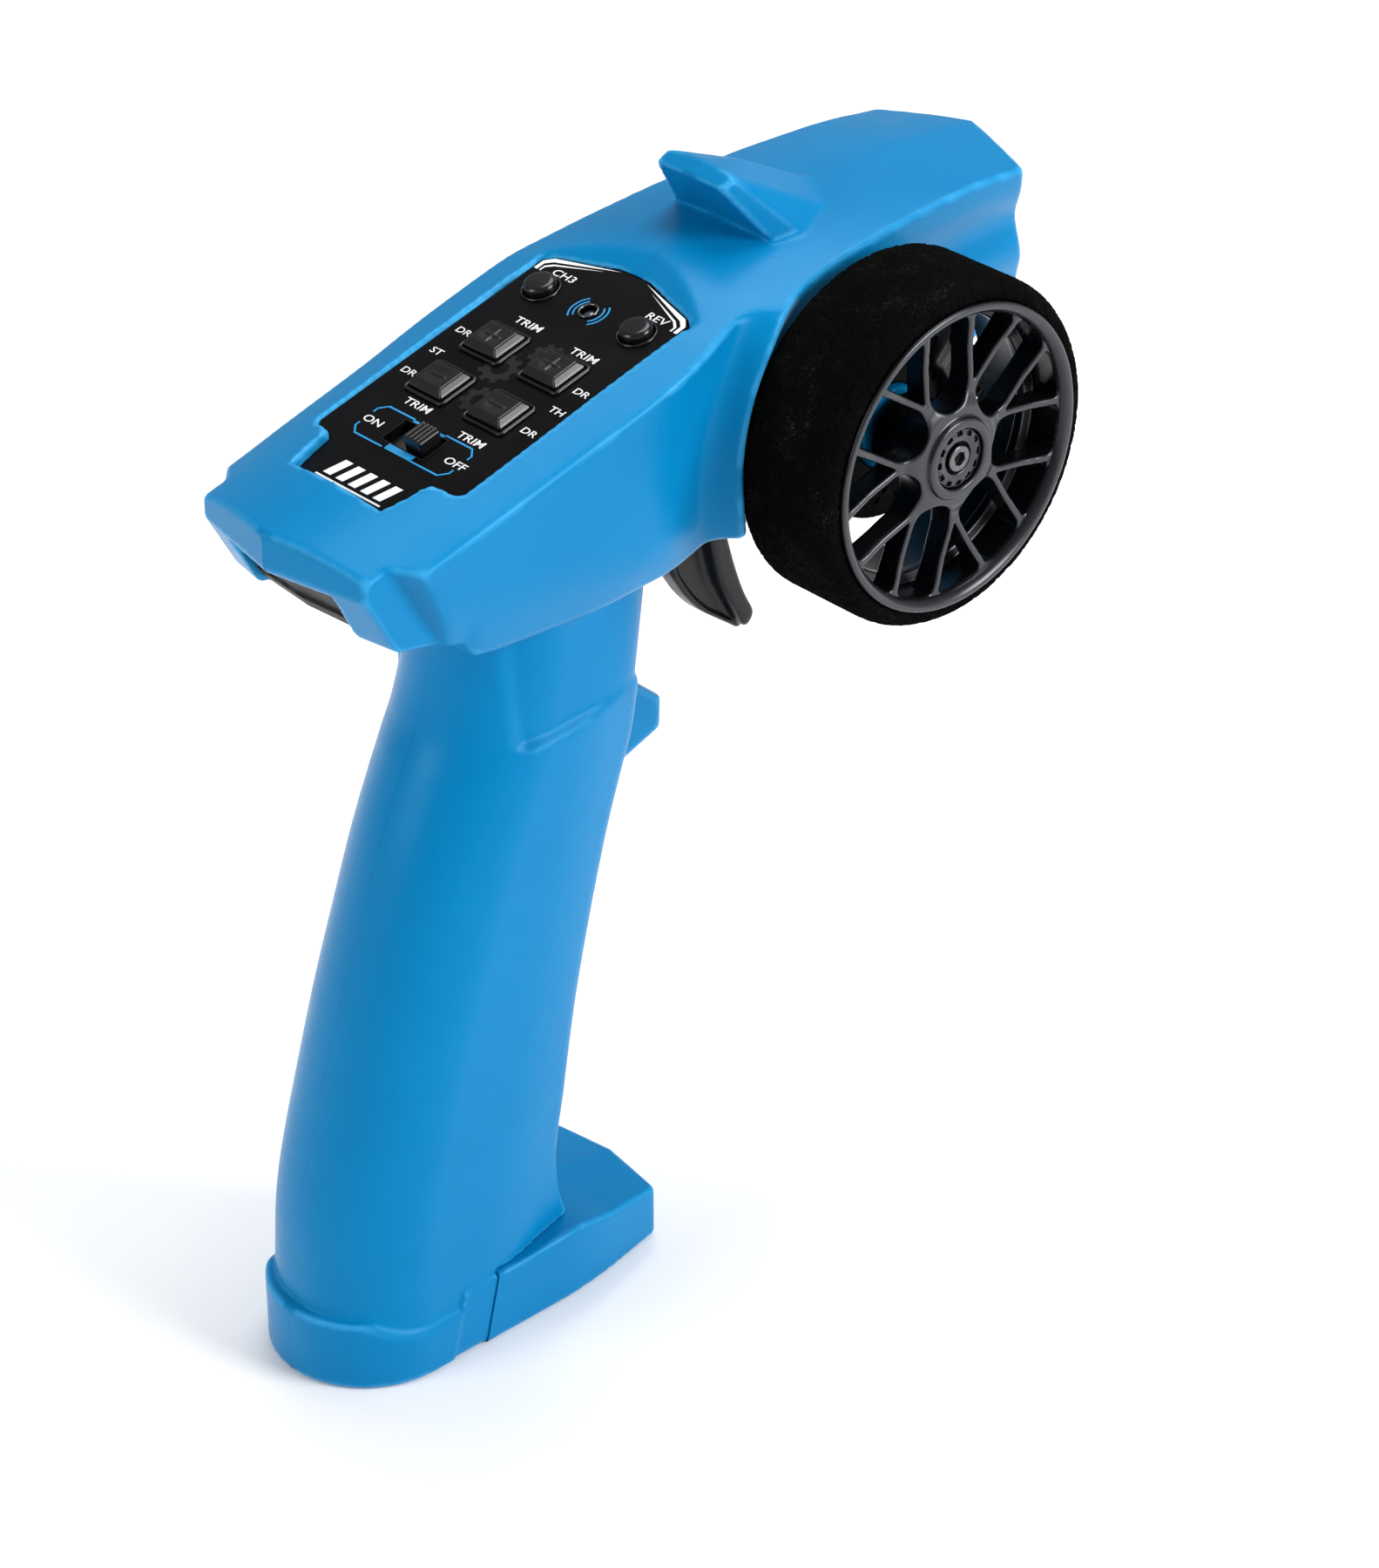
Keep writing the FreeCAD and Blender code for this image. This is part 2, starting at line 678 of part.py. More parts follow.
def make_power_switch():
    row_y, rest = size("switch_row"), size("knob_rest_x")
    body = new_body("power_knob_body")
    foot = new_sketch(body, "power_knob_foot", "XY_Plane", "-sizes.knob_foot")
    add_rectangle(foot, "sizes.knob_width", "sizes.knob_depth", (rest, row_y))
    pad(body, foot, "sizes.knob_foot + sizes.knob_height")
    on_panel(body)
    keep(body, "power_knob")
    width, depth = size("switch_slot_width") + 1.6, size("switch_slot_depth") + 1.6
    frame = plate(width, depth, -size("board_depth"), -2.0, 0, row_y)
    feature("power_switch", frame, panel_placement())


def make_electronics():
    depth, thick = size("board_depth"), size("board_thick")
    board = plate(size("board_width"), size("board_length"), -depth - thick, -depth, 0.0, 33.0)
    feature("main_board", board, panel_placement())
    side = size("tact_side")
    places = [(s * size("round_button_x"), size("round_button_row")) for _, s in ROUND_BUTTONS]
    places += [(s * size("trim_button_x"), size(row_name)) for _, s, row_name in TRIM_BUTTONS]
    tacts = [plate(side, side, -depth, size("tact_height") - depth, x, y) for x, y in places]
    feature("tact_switches", Part.makeCompound(tacts), panel_placement())
    radius, row_y = size("led_radius"), size("round_button_row")
    lamp = Part.makeCylinder(radius, size("led_length") - radius, Vector(0, row_y, -size("led_length")))
    lamp = lamp.fuse(Part.makeSphere(radius, Vector(0, row_y, -radius))).removeSplitter()
    feature("status_lamp", lamp, panel_placement())
    aerial = Part.makeCylinder(1.2, 36.0, Vector(0, 60, 168), Vector(0, 1, 0.05))
    feature("aerial", aerial)


make_label_panel()
for label, side, row_name in TRIM_BUTTONS:
    make_trim_button(label, side, row_name)
for label, side in ROUND_BUTTONS:
    make_round_button(label, side)
make_bezels()
make_power_switch()
make_electronics()


# ---------------------------------------------------------------- steering wheel
def make_rim():
    """Barrel, lip, spoked face and hub in one turned body, with the windows cut through the face."""
    back, front = size("wheel_back"), size("wheel_front")
    lip, barrel = size("rim_radius"), size("barrel_radius")
    inside = barrel - size("rim_wall")
    bore = size("shaft_radius") + size("fitted_gap")
    profile = [
        (back, inside), (back, barrel), (front - 1.6, barrel), (front - 1.0, lip), (front, lip),
        (front, lip - 1.1), (front - 0.8, lip - 1.9), (front - 1.4, 14.0), (front - 0.8, size("hub_radius")),
        (front, size("hub_radius") - 0.4), (front, size("hub_recess_radius")),
        (size("hub_recess"), size("hub_recess_radius")), (size("hub_recess"), 1.3),
        (size("shaft_end"), 1.3), (size("shaft_end"), bore), (size("hub_back"), bore),
        (size("hub_back"), size("hub_radius")), (size("spoke_back"), size("hub_radius")),
        (size("spoke_back"), inside),
    ]
    body = turned("wheel_rim", profile)
    start = math.radians(size("first_window"))
    outer = size("window_outer")
    half = math.radians(size("vee_half_angle"))
    vee = [(size("vee_inner"), 0.0)]
    vee += [(outer * math.cos(half * k / 2), outer * math.sin(half * k / 2)) for k in range(-2, 3)]
    cuts = []
    sketch = new_sketch(body, "vee_window", "YZ_Plane", "sizes.wheel_front + 2")
    add_outline(sketch, [turn(point, start) for point in vee])
    cuts.append(pocket(body, sketch, "8"))
    sketch = new_sketch(body, "slot_window", "YZ_Plane", "sizes.wheel_front + 2")
    width = size("slot_half_width")
    centre = size("slot_inner") + width
    slot = [(outer * 0.985, width), (centre, width)]
    turns = [math.radians(30 * k) for k in range(1, 6)]
    slot += [(centre - width * math.sin(a), width * math.cos(a)) for a in turns]
    slot += [(centre, -width), (outer * 0.985, -width), (outer, 0.0)]
    add_outline(sketch, [turn(point, start + math.pi / size("spoke_count")) for point in slot])
    cuts.append(pocket(body, sketch, "8"))
    pattern = body.newObject("PartDesign::PolarPattern", "window_pattern")
    pattern.Originals = cuts
    pattern.Axis = (body_plane(body, "X_Axis"), [""])
    pattern.Angle = 360
    pattern.setExpression("Occurrences", "sizes.spoke_count")
    body.Tip = pattern
    doc.recompute()
    return keep(body, "wheel_rim")


def turn(point, angle):
    x, y = point
    return (x * math.cos(angle) - y * math.sin(angle), x * math.sin(angle) + y * math.cos(angle))


def helix_x(radius, wire, pitch, turns, start, y, z):
    """A coil spring wound about an axis along X."""
    spiral = Part.makeLongHelix(pitch, pitch * turns, radius)
    section = Part.Wire(Part.makeCircle(wire, Vector(radius, 0, 0), Vector(0, 1, 0)))
    coil = Part.Wire(spiral.Edges).makePipeShell([section], True, True)
    coil.Placement = Placement(Vector(start, y, z), Rotation(Vector(0, 1, 0), 90))
    return Part.makeCompound([coil]).Solids[0]


make_rim()
BARREL = size("barrel_radius") + size("fitted_gap")
FRONT = size("wheel_front")
keep(
    turned(
        "wheel_foam",
        [
            (size("wheel_back") - 0.5, BARREL), (size("wheel_back") - 0.5, 26.8),
            (size("wheel_back") + 1.2, size("foam_radius")),
            (FRONT - 5.0, size("foam_radius")), (FRONT - 2.4, 27.5), (FRONT - 0.8, 26.0),
            (FRONT - 0.9, 25.6), (FRONT - 1.1, 25.6), (FRONT - 1.7, BARREL),
        ],
    ),
    "wheel_foam",
)
keep(
    turned(
        "lock_ring",
        [
            (size("hub_recess") + 0.05, 2.6), (size("hub_recess") + 0.05, 4.9), (FRONT - 0.4, 4.9),
            (FRONT - 0.4, 3.2), (FRONT - 0.8, 2.6),
        ],
    ),
    "lock_ring",
)
keep(
    turned(
        "wheel_screw",
        [
            (34.0, 0.0), (34.0, 1.0), (size("hub_recess") + 0.05, 1.0),
            (size("hub_recess") + 0.05, 2.2),
            (FRONT - 0.5, 2.2), (FRONT - 0.3, 2.0), (FRONT - 0.3, 1.1), (FRONT - 1.3, 1.1),
            (FRONT - 1.3, 0.0),
        ],
    ),
    "wheel_screw",
)
keep(
    turned(
        "steering_shaft",
        [
            (size("shaft_start"), 0.0), (size("shaft_start"), 2.5), (size("shaft_end") - 0.1, 2.5),
            (size("shaft_end") - 0.1, 1.02), (33.5, 1.02), (33.5, 0.0),
        ],
    ),
    "steering_shaft",
)
keep(
    turned(
        "shaft_bush",
        [
            (10.0, size("shaft_radius") + size("running_gap")), (10.0, size("bush_radius")),
            (size("boss_end") + 0.3, size("bush_radius")),
            (size("boss_end") + 0.3, size("shaft_radius") + size("running_gap")),
        ],
    ),
    "shaft_bush",
)
keep(
    turned(
        "brake_disc",
        [
            (size("disc_back"), size("boss_radius") + size("fitted_gap")),
            (size("disc_back"), size("disc_radius")),
            (size("disc_back") + size("disc_thick"), size("disc_radius")),
            (size("disc_back") + size("disc_thick"), size("boss_radius") + size("fitted_gap")),
        ],
    ),
    "brake_disc",
)


def make_caliper():
    """A block that straddles the edge of the brake disc."""
    y, z = size("wheel_y"), size("wheel_z")
    back, front = size("disc_back") - 2.2, size("disc_back") + size("disc_thick") + 2.2
    block = tube_x(19.0, back, front, y, z).cut(tube_x(11.5, back - 1, front + 1, y, z))
    wedge = [(y, z)]
    wedge += [(y + 40 * math.cos(a), z + 40 * math.sin(a)) for a in (math.radians(-2), math.radians(52))]
    block = block.common(prism(wedge, back - 1, front + 1, "x"))
    disc_front = size("disc_back") + size("disc_thick")
    groove = tube_x(size("disc_radius") + 0.1, size("disc_back") - 0.1, disc_front + 0.1, y, z)
    return block.cut(groove)


feature("brake_caliper", make_caliper())


def make_steering_inside():
    y, z = size("wheel_y"), size("wheel_z")
    shaft, run = size("shaft_radius"), size("running_gap")
    collar = tube_x(5.0, 5.0, 8.0, y, z).fuse(Part.makeBox(3.0, 3.0, 9.0, Vector(5.0, y - 1.5, z)))
    collar = collar.cut(tube_x(shaft + size("fitted_gap"), 4.0, 9.0, y, z)).removeSplitter()
    feature("steering_arm", collar)
    pot = tube_x(size("pot_radius"), size("pot_back"), size("pot_front"), y, z)
    feature("steering_sensor", pot.cut(tube_x(shaft + run, size("shaft_start") - 1.0, 0.0, y, z)))
    feature("steering_spring", helix_x(4.2, 0.5, 1.4, 4, -2.6, y, z))


make_steering_inside()


# ---------------------------------------------------------------- trigger
def arc(a, b, c):
    return Part.Arc(Vector(0, *a), Vector(0, *b), Vector(0, *c)).toShape()


def line(a, b):
    return Part.LineSegment(Vector(0, *a), Vector(0, *b)).toShape()


def slab(edges, half_width):
    """A plate with an outline in the Y-Z plane, centred on X = 0."""
    face = Part.Face(Part.Wire(edges))
    plate_shape = face.extrude(Vector(2 * half_width, 0, 0))
    plate_shape.translate(Vector(-half_width, 0, 0))
    return plate_shape


def trigger_shape():
    """A finger hook: a wide curved face in front, a thin web behind it and a hub round the pin."""
    tip_back, tip_front = (60.6, 102.5), (62.8, 104.8)
    back = [arc((45.6, 120.0), (51.0, 110.3), tip_back)]
    front = [arc(tip_front, (59.6, 111.4), (55.6, 124.5))]
    inner_tip, inner_mid, inner_top = (60.2, 103.2), (56.4, 110.4), (52.2, 124.0)
    hub = (size("trigger_y") - 3.6, size("trigger_z"))
    crown = (size("trigger_y") + 3.6, size("trigger_z"))
    web = back + [arc(tip_back, (62.4, 103.1), tip_front)] + front
    web += [line((55.6, 124.5), crown), line(crown, hub), line(hub, (45.6, 120.0))]
    flange = [arc(tip_front, (62.4, 103.1), tip_back), line(tip_back, inner_tip)]
    flange += [arc(inner_tip, inner_mid, inner_top), line(inner_top, (55.6, 124.5))]
    flange += [arc((55.6, 124.5), (59.6, 111.4), tip_front)]
    y, z, half = size("trigger_y"), size("trigger_z"), size("flange_half_width")
    solid = slab(web, size("web_half_width")).fuse(slab(flange, half))
    solid = solid.fuse(tube_x(size("trigger_hub_radius"), -half, half, y, z)).removeSplitter()
    return solid.cut(tube_x(size("pin_radius") + size("running_gap"), -20, 20, y, z))


feature("trigger", trigger_shape())
PIN_Y, PIN_Z, PIN_REACH = size("trigger_y"), size("trigger_z"), size("pin_half_length")
feature("trigger_pin", tube_x(size("pin_radius"), -PIN_REACH, PIN_REACH, PIN_Y, PIN_Z))
sensor = tube_x(5.5, -10.6, -5.0, PIN_Y, PIN_Z)
PIN_HOLE = size("pin_radius") + size("fitted_gap")
feature("throttle_sensor", sensor.cut(tube_x(PIN_HOLE, -20, 0, PIN_Y, PIN_Z)))
feature("trigger_spring", helix_x(2.7, 0.35, 0.9, 3, 5.3, PIN_Y, PIN_Z))


# ---------------------------------------------------------------- batteries, leads and screws
def tray_placement():
    lean = Rotation(Vector(1, 0, 0), -size("grip_lean"))
    return Placement(Vector(0, size("tray_y"), size("tray_z")), lean)


def make_batteries():
    """Four cells stand two by two between two end plates, which follow the lean of the grip."""
    side, length, radius = size("tray_side"), size("cell_length"), size("cell_radius")
    half = size("cell_pitch") / 2
    contact, plate_thick, clear = 0.4, 0.8, 0.05
    places = [(x, y) for x in (-half, half) for y in (-half, half)]
    # From the bottom up: end plate, contacts, cells, contacts, end plate.
    low_contact = plate_thick + clear
    cell_start = low_contact + contact + clear
    high_contact = cell_start + length + clear
    top_plate = high_contact + contact + clear
    tray = plate(side, side, 0.0, plate_thick, 0.0, 0.0)
    tray = tray.fuse(plate(side, side, top_plate, top_plate + plate_thick, 0.0, 0.0))
    tray = tray.fuse(Part.makeCylinder(size("spacer_radius"), top_plate)).removeSplitter()
    feature("battery_tray", tray, tray_placement())
    cap_height = 0.9
    cells = []
    for x, y in places:
        cell = Part.makeCylinder(radius, length - cap_height, Vector(x, y, cell_start))
        top = Vector(x, y, cell_start + length - cap_height)
        cap = Part.makeCylinder(size("cap_radius"), cap_height, top)
        cells.append(cell.fuse(cap).removeSplitter())
    feature("battery_cells", Part.makeCompound(cells), tray_placement())
    strips = [
        plate(6.5, side - 3.0, level, level + contact, x, 0.0)
        for level in (low_contact, high_contact)
        for x in (-half, half)
    ]
    feature("battery_contacts", Part.makeCompound(strips), tray_placement())


def make_leads():
    """Two insulated leads run up inside the grip from the battery contacts to the board."""
    start, end = Vector(0, 5.0, 72.0), Vector(0, 17.5, 151.0)
    leads = []
    for x in (-3.0, 3.0):
        origin = start + Vector(x, 0, 0)
        leads.append(Part.makeCylinder(size("lead_radius"), (end - start).Length, origin, end - start))
    feature("battery_leads", Part.makeCompound(leads))


def make_screws():
    radius, head = size("screw_radius"), size("screw_head_radius")
    screws = []
    for y, z, face in SCREWS:
        seat = face + SCREW_SEAT
        screw = tube_x(radius, seat, SCREW_REACH, y, z).fuse(tube_x(head, seat - SCREW_HEAD, seat, y, z))
        cross = Part.makeBox(1.0, 0.7, 2.6, Vector(seat - SCREW_HEAD, y - 0.35, z - 1.3))
        cross = cross.fuse(Part.makeBox(1.0, 2.6, 0.7, Vector(seat - SCREW_HEAD, y - 1.3, z - 0.35)))
        screws.append(screw.cut(cross).removeSplitter())
    feature("case_screws", Part.makeCompound(screws))


make_batteries()
make_leads()
make_screws()


# ---------------------------------------------------------------- write the files
doc.recompute()
for thing in doc.Objects:
    if "Invalid" in thing.State or "Error" in thing.State:
        raise RuntimeError(f"{thing.Name} did not rebuild")
for thing in SUBPARTS:
    if thing.Shape.isNull() or not thing.Shape.isValid():
        raise RuntimeError(f"{thing.Label} has no valid shape")

os.makedirs("parts", exist_ok=True)
for thing in SUBPARTS:
    thing.Shape.exportStep(f"parts/{thing.Label}.step")
print("wrote", len(SUBPARTS), "sub-parts")
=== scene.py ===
"""Looks of the pistol-grip radio transmitter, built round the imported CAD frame.

Most visible pieces are grown from a field: a function that is negative inside the piece. Fields are
joined and cut with rounded edges, then turned into a closed mesh. Field code works in millimetres.
"""
import collections
import functools
import json
import math

import bpy
import numpy as np
from mathutils import Matrix, Vector


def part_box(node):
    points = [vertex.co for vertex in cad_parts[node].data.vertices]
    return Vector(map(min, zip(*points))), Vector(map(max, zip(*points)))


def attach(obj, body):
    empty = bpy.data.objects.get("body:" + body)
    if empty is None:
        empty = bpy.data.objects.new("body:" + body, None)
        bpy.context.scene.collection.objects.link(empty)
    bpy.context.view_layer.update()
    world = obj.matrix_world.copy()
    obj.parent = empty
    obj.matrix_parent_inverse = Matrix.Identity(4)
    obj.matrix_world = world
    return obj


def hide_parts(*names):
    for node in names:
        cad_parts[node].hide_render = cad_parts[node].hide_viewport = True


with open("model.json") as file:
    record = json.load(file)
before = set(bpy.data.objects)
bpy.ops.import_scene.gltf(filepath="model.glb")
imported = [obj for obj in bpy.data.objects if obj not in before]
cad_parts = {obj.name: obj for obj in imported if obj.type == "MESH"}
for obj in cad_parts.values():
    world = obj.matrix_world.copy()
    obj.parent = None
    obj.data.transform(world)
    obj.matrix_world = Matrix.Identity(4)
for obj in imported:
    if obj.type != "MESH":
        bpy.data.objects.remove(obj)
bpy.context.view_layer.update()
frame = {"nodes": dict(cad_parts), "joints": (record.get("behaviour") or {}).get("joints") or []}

MM = 0.001


# ---------------------------------------------------------------- places taken from the frame
def frame_box(node):
    """Lowest and highest corner of a CAD node, in millimetres."""
    low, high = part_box(node)
    return np.array(low) / MM, np.array(high) / MM


JOINTS = {joint["name"]: joint for joint in frame["joints"]}
AXLE_Y, AXLE_Z = (value / MM for value in JOINTS["wheel_turn"]["pos_m"][1:])
PIVOT_Y, PIVOT_Z = (value / MM for value in JOINTS["trigger_pull"]["pos_m"][1:])
PRESS = np.array(JOINTS["steering_trim_plus_press"]["axis"])
PANEL_TILT = math.atan2(PRESS[1], -PRESS[2])
rim_low, rim_high = frame_box("wheel_rim")
foam_low, foam_high = frame_box("wheel_foam")
panel_low, _ = frame_box("label_panel")
RIM_BACK, RIM_FRONT = rim_low[0], rim_high[0]
LIP_RADIUS = (rim_high[1] - rim_low[1]) / 2
FOAM_RADIUS = (foam_high[1] - foam_low[1]) / 2
PANEL_THICK = 1.5
PANEL_Y = panel_low[1]
PANEL_Z = panel_low[2] + PANEL_THICK * math.cos(PANEL_TILT)
PANEL_TURN = Matrix.Rotation(PANEL_TILT, 4, "X")
PANEL = Matrix.Translation((0, PANEL_Y * MM, PANEL_Z * MM)) @ PANEL_TURN


# ---------------------------------------------------------------- field tools
def smooth(points, at):
    """A smooth line through (place, value) points that never overshoots them."""
    x, y = np.array(points, np.float32).T
    slope = np.diff(y) / np.diff(x)
    lean = np.zeros_like(y)
    same = slope[1:] * slope[:-1] > 0
    lean[1:-1][same] = (2 * slope[1:] * slope[:-1])[same] / (slope[1:] + slope[:-1])[same]
    lean[0], lean[-1] = slope[0], slope[-1]
    k = np.clip(np.searchsorted(x, at) - 1, 0, len(x) - 2)
    gap = x[k + 1] - x[k]
    t = np.clip((at - x[k]) / gap, 0, 1)
    s = 1 - t
    value = y[k] * s * s * (1 + 2 * t) + y[k + 1] * t * t * (3 - 2 * t)
    return (value + gap * t * s * (lean[k] * s - lean[k + 1] * t)).astype(np.float32)


def join(a, b, r=0.0):
    """Union of two fields, with a fillet of about r where they meet."""
    if r <= 0:
        return np.minimum(a, b)
    h = np.clip(0.5 + 0.5 * (b - a) / r, 0, 1)
    return b + (a - b) * h - r * h * (1 - h)


def meet(a, b, r=0.0):
    """Intersection of two fields, with an edge rounded by about r."""
    return -join(-a, -b, r)


def cut(a, b, r=0.0):
    return meet(a, -b, r)


def ramp(value, start, end):
    """0 before start, 1 after end, smooth between."""
    t = np.clip((value - start) / (end - start), 0, 1)
    return t * t * (3 - 2 * t)


def length(a, b):
    return np.sqrt(a ** 2 + b ** 2)


def axle_distance(y, z):
    return length(y - AXLE_Y, z - AXLE_Z)


def box_field(x, y, z, centre, half, r):
    """A box with rounded edges."""
    q = [np.abs(v - c) - (h - r) for v, c, h in zip((x, y, z), centre, half)]
    outside = np.sqrt(sum(np.maximum(v, 0) ** 2 for v in q))
    inside = np.minimum(np.maximum(np.maximum(q[0], q[1]), q[2]), 0)
    return outside + inside - r


def outline_field(a, b, corners):
    """Distance to a closed outline in a plane, negative inside; corners go either way round."""
    far = np.full(np.broadcast(a, b).shape, 1e6, np.float32)
    sign = np.ones_like(far)
    for (ax, ay), (bx, by) in zip(corners, corners[1:] + corners[:1]):
        ex, ey = bx - ax, by - ay
        wx, wy = a - ax, b - ay
        t = np.clip((wx * ex + wy * ey) / (ex * ex + ey * ey), 0, 1)
        far = np.minimum(far, (wx - ex * t) ** 2 + (wy - ey * t) ** 2)
        above = b >= ay
        below = b < by
        left = ex * wy > ey * wx
        crosses = (above & below & left) | (~above & ~below & ~left)
        sign = np.where(crosses, -sign, sign)
    return sign * np.sqrt(far)


def mirrored_field(side, b, points):
    """Distance to an outline that is the same on both sides of the middle plane; side is always positive."""
    corners = points + [(-p, q) for p, q in reversed(points) if p > 0]
    return outline_field(side + 0 * b, b + 0 * side, corners)


def plane_field(x, y, z, a, b, c, inside):
    """Distance to the plane through three points, negative on the side of the point called inside."""
    a, b, c, inside = (np.array(p, float) for p in (a, b, c, inside))
    normal = np.cross(b - a, c - a)
    normal /= np.linalg.norm(normal)
    if normal @ (inside - a) > 0:
        normal = -normal
    return (x * normal[0] + y * normal[1] + z * normal[2] - normal @ a).astype(np.float32)


CORNERS = [(i, j, k) for i in (0, 1) for j in (0, 1) for k in (0, 1)]
EDGES = [(a, b) for a in range(8) for b in range(a + 1, 8) if bin(a ^ b).count("1") == 1]


def field_mesh(name, field, low, high, step):
    """A closed mesh of small quads, with one vertex in each cell that the field's surface crosses."""
    counts = [int(math.ceil((b - a) / step)) + 1 for a, b in zip(low, high)]
    axes = [np.arange(n, dtype=np.float32) * step + a for n, a in zip(counts, low)]
    x, y, z = axes[0][:, None, None], axes[1][None, :, None], axes[2][None, None, :]
    value = np.broadcast_to(field(x, y, z), counts).astype(np.float32)
    full = value < 0
    tally = np.zeros([n - 1 for n in counts], np.uint8)
    for i, j, k in CORNERS:
        tally += full[i:counts[0] - 1 + i, j:counts[1] - 1 + j, k:counts[2] - 1 + k]
    cells = np.argwhere((tally > 0) & (tally < 8))
    corner = [value[cells[:, 0] + i, cells[:, 1] + j, cells[:, 2] + k] for i, j, k in CORNERS]
    place = np.zeros((len(cells), 3))
    weight = np.zeros(len(cells))
    for a, b in EDGES:
        crossed = (corner[a] < 0) != (corner[b] < 0)
        gap = np.where(crossed, corner[a] - corner[b], 1)
        t = np.where(crossed, corner[a] / gap, 0)
        start, end = np.array(CORNERS[a]), np.array(CORNERS[b])
        place += np.where(crossed[:, None], start + t[:, None] * (end - start), 0)
        weight += crossed
    vertices = ((cells + place / weight[:, None]) * step + np.array(low)) * MM
    index = np.full(tally.shape, -1, np.int32)
    index[cells[:, 0], cells[:, 1], cells[:, 2]] = np.arange(len(cells))
    quads = []
    for axis in range(3):
        u, v = (axis + 1) % 3, (axis + 2) % 3
        ahead = np.take(full, range(1, counts[axis]), axis)
        here = np.take(full, range(counts[axis] - 1), axis)
        spots = np.argwhere(ahead != here)
        spots = spots[(spots[:, u] > 0) & (spots[:, v] > 0)]
        leaving = here[spots[:, 0], spots[:, 1], spots[:, 2]]
        ring = []
        for du, dv in ((0, 0), (1, 0), (1, 1), (0, 1)):
            shifted = spots.copy()
            shifted[:, u] -= 1 - du
            shifted[:, v] -= 1 - dv
            ring.append(index[shifted[:, 0], shifted[:, 1], shifted[:, 2]])
        ring = np.stack(ring, 1)
        ring[~leaving] = ring[~leaving][:, ::-1]
        quads.append(ring)
    quads = np.concatenate(quads)
    return mesh_object(name, relaxed(vertices, quads), quads)


def averager(ends, others, count):
    """A function that gives every vertex the mean of its neighbours' values."""
    near = np.maximum(np.bincount(ends, minlength=count), 1)
    return lambda value: np.bincount(ends, value[others], count) / near


def relaxed(vertices, quads):
    """Evens out the small steps that the cells leave, without shrinking the shape."""
    ends = np.concatenate([quads, np.roll(quads, -1, 1)]).ravel()
    others = np.concatenate([np.roll(quads, -1, 1), quads]).ravel()
    mean = averager(ends, others, len(vertices))
    for strength in (0.5, -0.52, 0.5, -0.52):
        middle = np.stack([mean(vertices[:, k]) for k in range(3)], 1)
        vertices = vertices + strength * (middle - vertices)
    return vertices


def add_object(name, data):
    thing = bpy.data.objects.new(name, data)
    bpy.context.scene.collection.objects.link(thing)
    return thing


def mesh_object(name, vertices, quads):
    """A smooth-shaded object from arrays of vertices, in metres, and four-sided faces."""
    mesh = bpy.data.meshes.new(name)
    mesh.vertices.add(len(vertices))
    mesh.vertices.foreach_set("co", np.asarray(vertices, np.float32).ravel())
    mesh.loops.add(quads.size)
    mesh.loops.foreach_set("vertex_index", np.asarray(quads, np.int32).ravel())
    mesh.polygons.add(len(quads))
    mesh.polygons.foreach_set("loop_start", np.arange(0, quads.size, 4, dtype=np.int32))
    mesh.update(calc_edges=True)
    mesh.validate()
    mesh.shade_smooth()
    return add_object(name, mesh)


def lathe(name, profile, steps):
    """A ring turned about the wheel's axle from a closed (x, radius) profile."""
    count = len(profile)
    angle = (np.arange(steps) * 2 * math.pi / steps)[:, None]
    x, r = np.array(profile, float).T
    across = np.broadcast_to(x, (steps, count))
    vertices = np.stack([across, AXLE_Y + r * np.cos(angle), AXLE_Z + r * np.sin(angle)], 2)
    here = np.arange(steps * count).reshape(steps, count)
    ahead = np.roll(here, -1, 0)
    quads = np.stack([here, np.roll(here, -1, 1), np.roll(ahead, -1, 1), ahead], 2)
    return mesh_object(name, vertices.reshape(-1, 3) * MM, quads.reshape(-1, 4))


def rounded(corners, radii, steps=5):
    """A closed outline with each corner turned into a small curve of its own radius."""
    points = []
    count = len(corners)
    for i, (corner, radius) in enumerate(zip(corners, radii)):
        p = np.array(corner, float)
        back = np.array(corners[i - 1], float) - p
        on = np.array(corners[(i + 1) % count], float) - p
        reach = min(radius, 0.45 * np.linalg.norm(back), 0.45 * np.linalg.norm(on))
        if reach <= 0:
            points.append(tuple(p))
            continue
        a, b = p + back / np.linalg.norm(back) * reach, p + on / np.linalg.norm(on) * reach
        for t in np.linspace(0, 1, steps):
            points.append(tuple(a * (1 - t) ** 2 + 2 * p * t * (1 - t) + b * t * t))
    return points


def finish_piece(piece, body, slot, material, *replaced):
    """Material, body and the CAD nodes that a piece stands for; slot is not used."""
    piece.data.materials.clear()
    piece.data.materials.append(material)
    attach(piece, body)
    if replaced:
        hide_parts(*replaced)
    return piece


def grown(name, field, low, high, step, *finish):
    """A finished piece grown from a field; finish holds its body, slot, material and CAD nodes."""
    return finish_piece(field_mesh(name, field, low, high, step), *finish)


def about_axle(back, front, reach):
    """Corners of a box that is centred on the wheel's axle."""
    return (back, AXLE_Y - reach, AXLE_Z - reach), (front, AXLE_Y + reach, AXLE_Z + reach)


def vertex_values(piece, kind):
    """A stored vector of every vertex, such as its place in metres or its normal."""
    value = np.empty(len(piece.data.vertices) * 3, np.float32)
    piece.data.vertices.foreach_get(kind, value)
    return value.reshape(-1, 3)


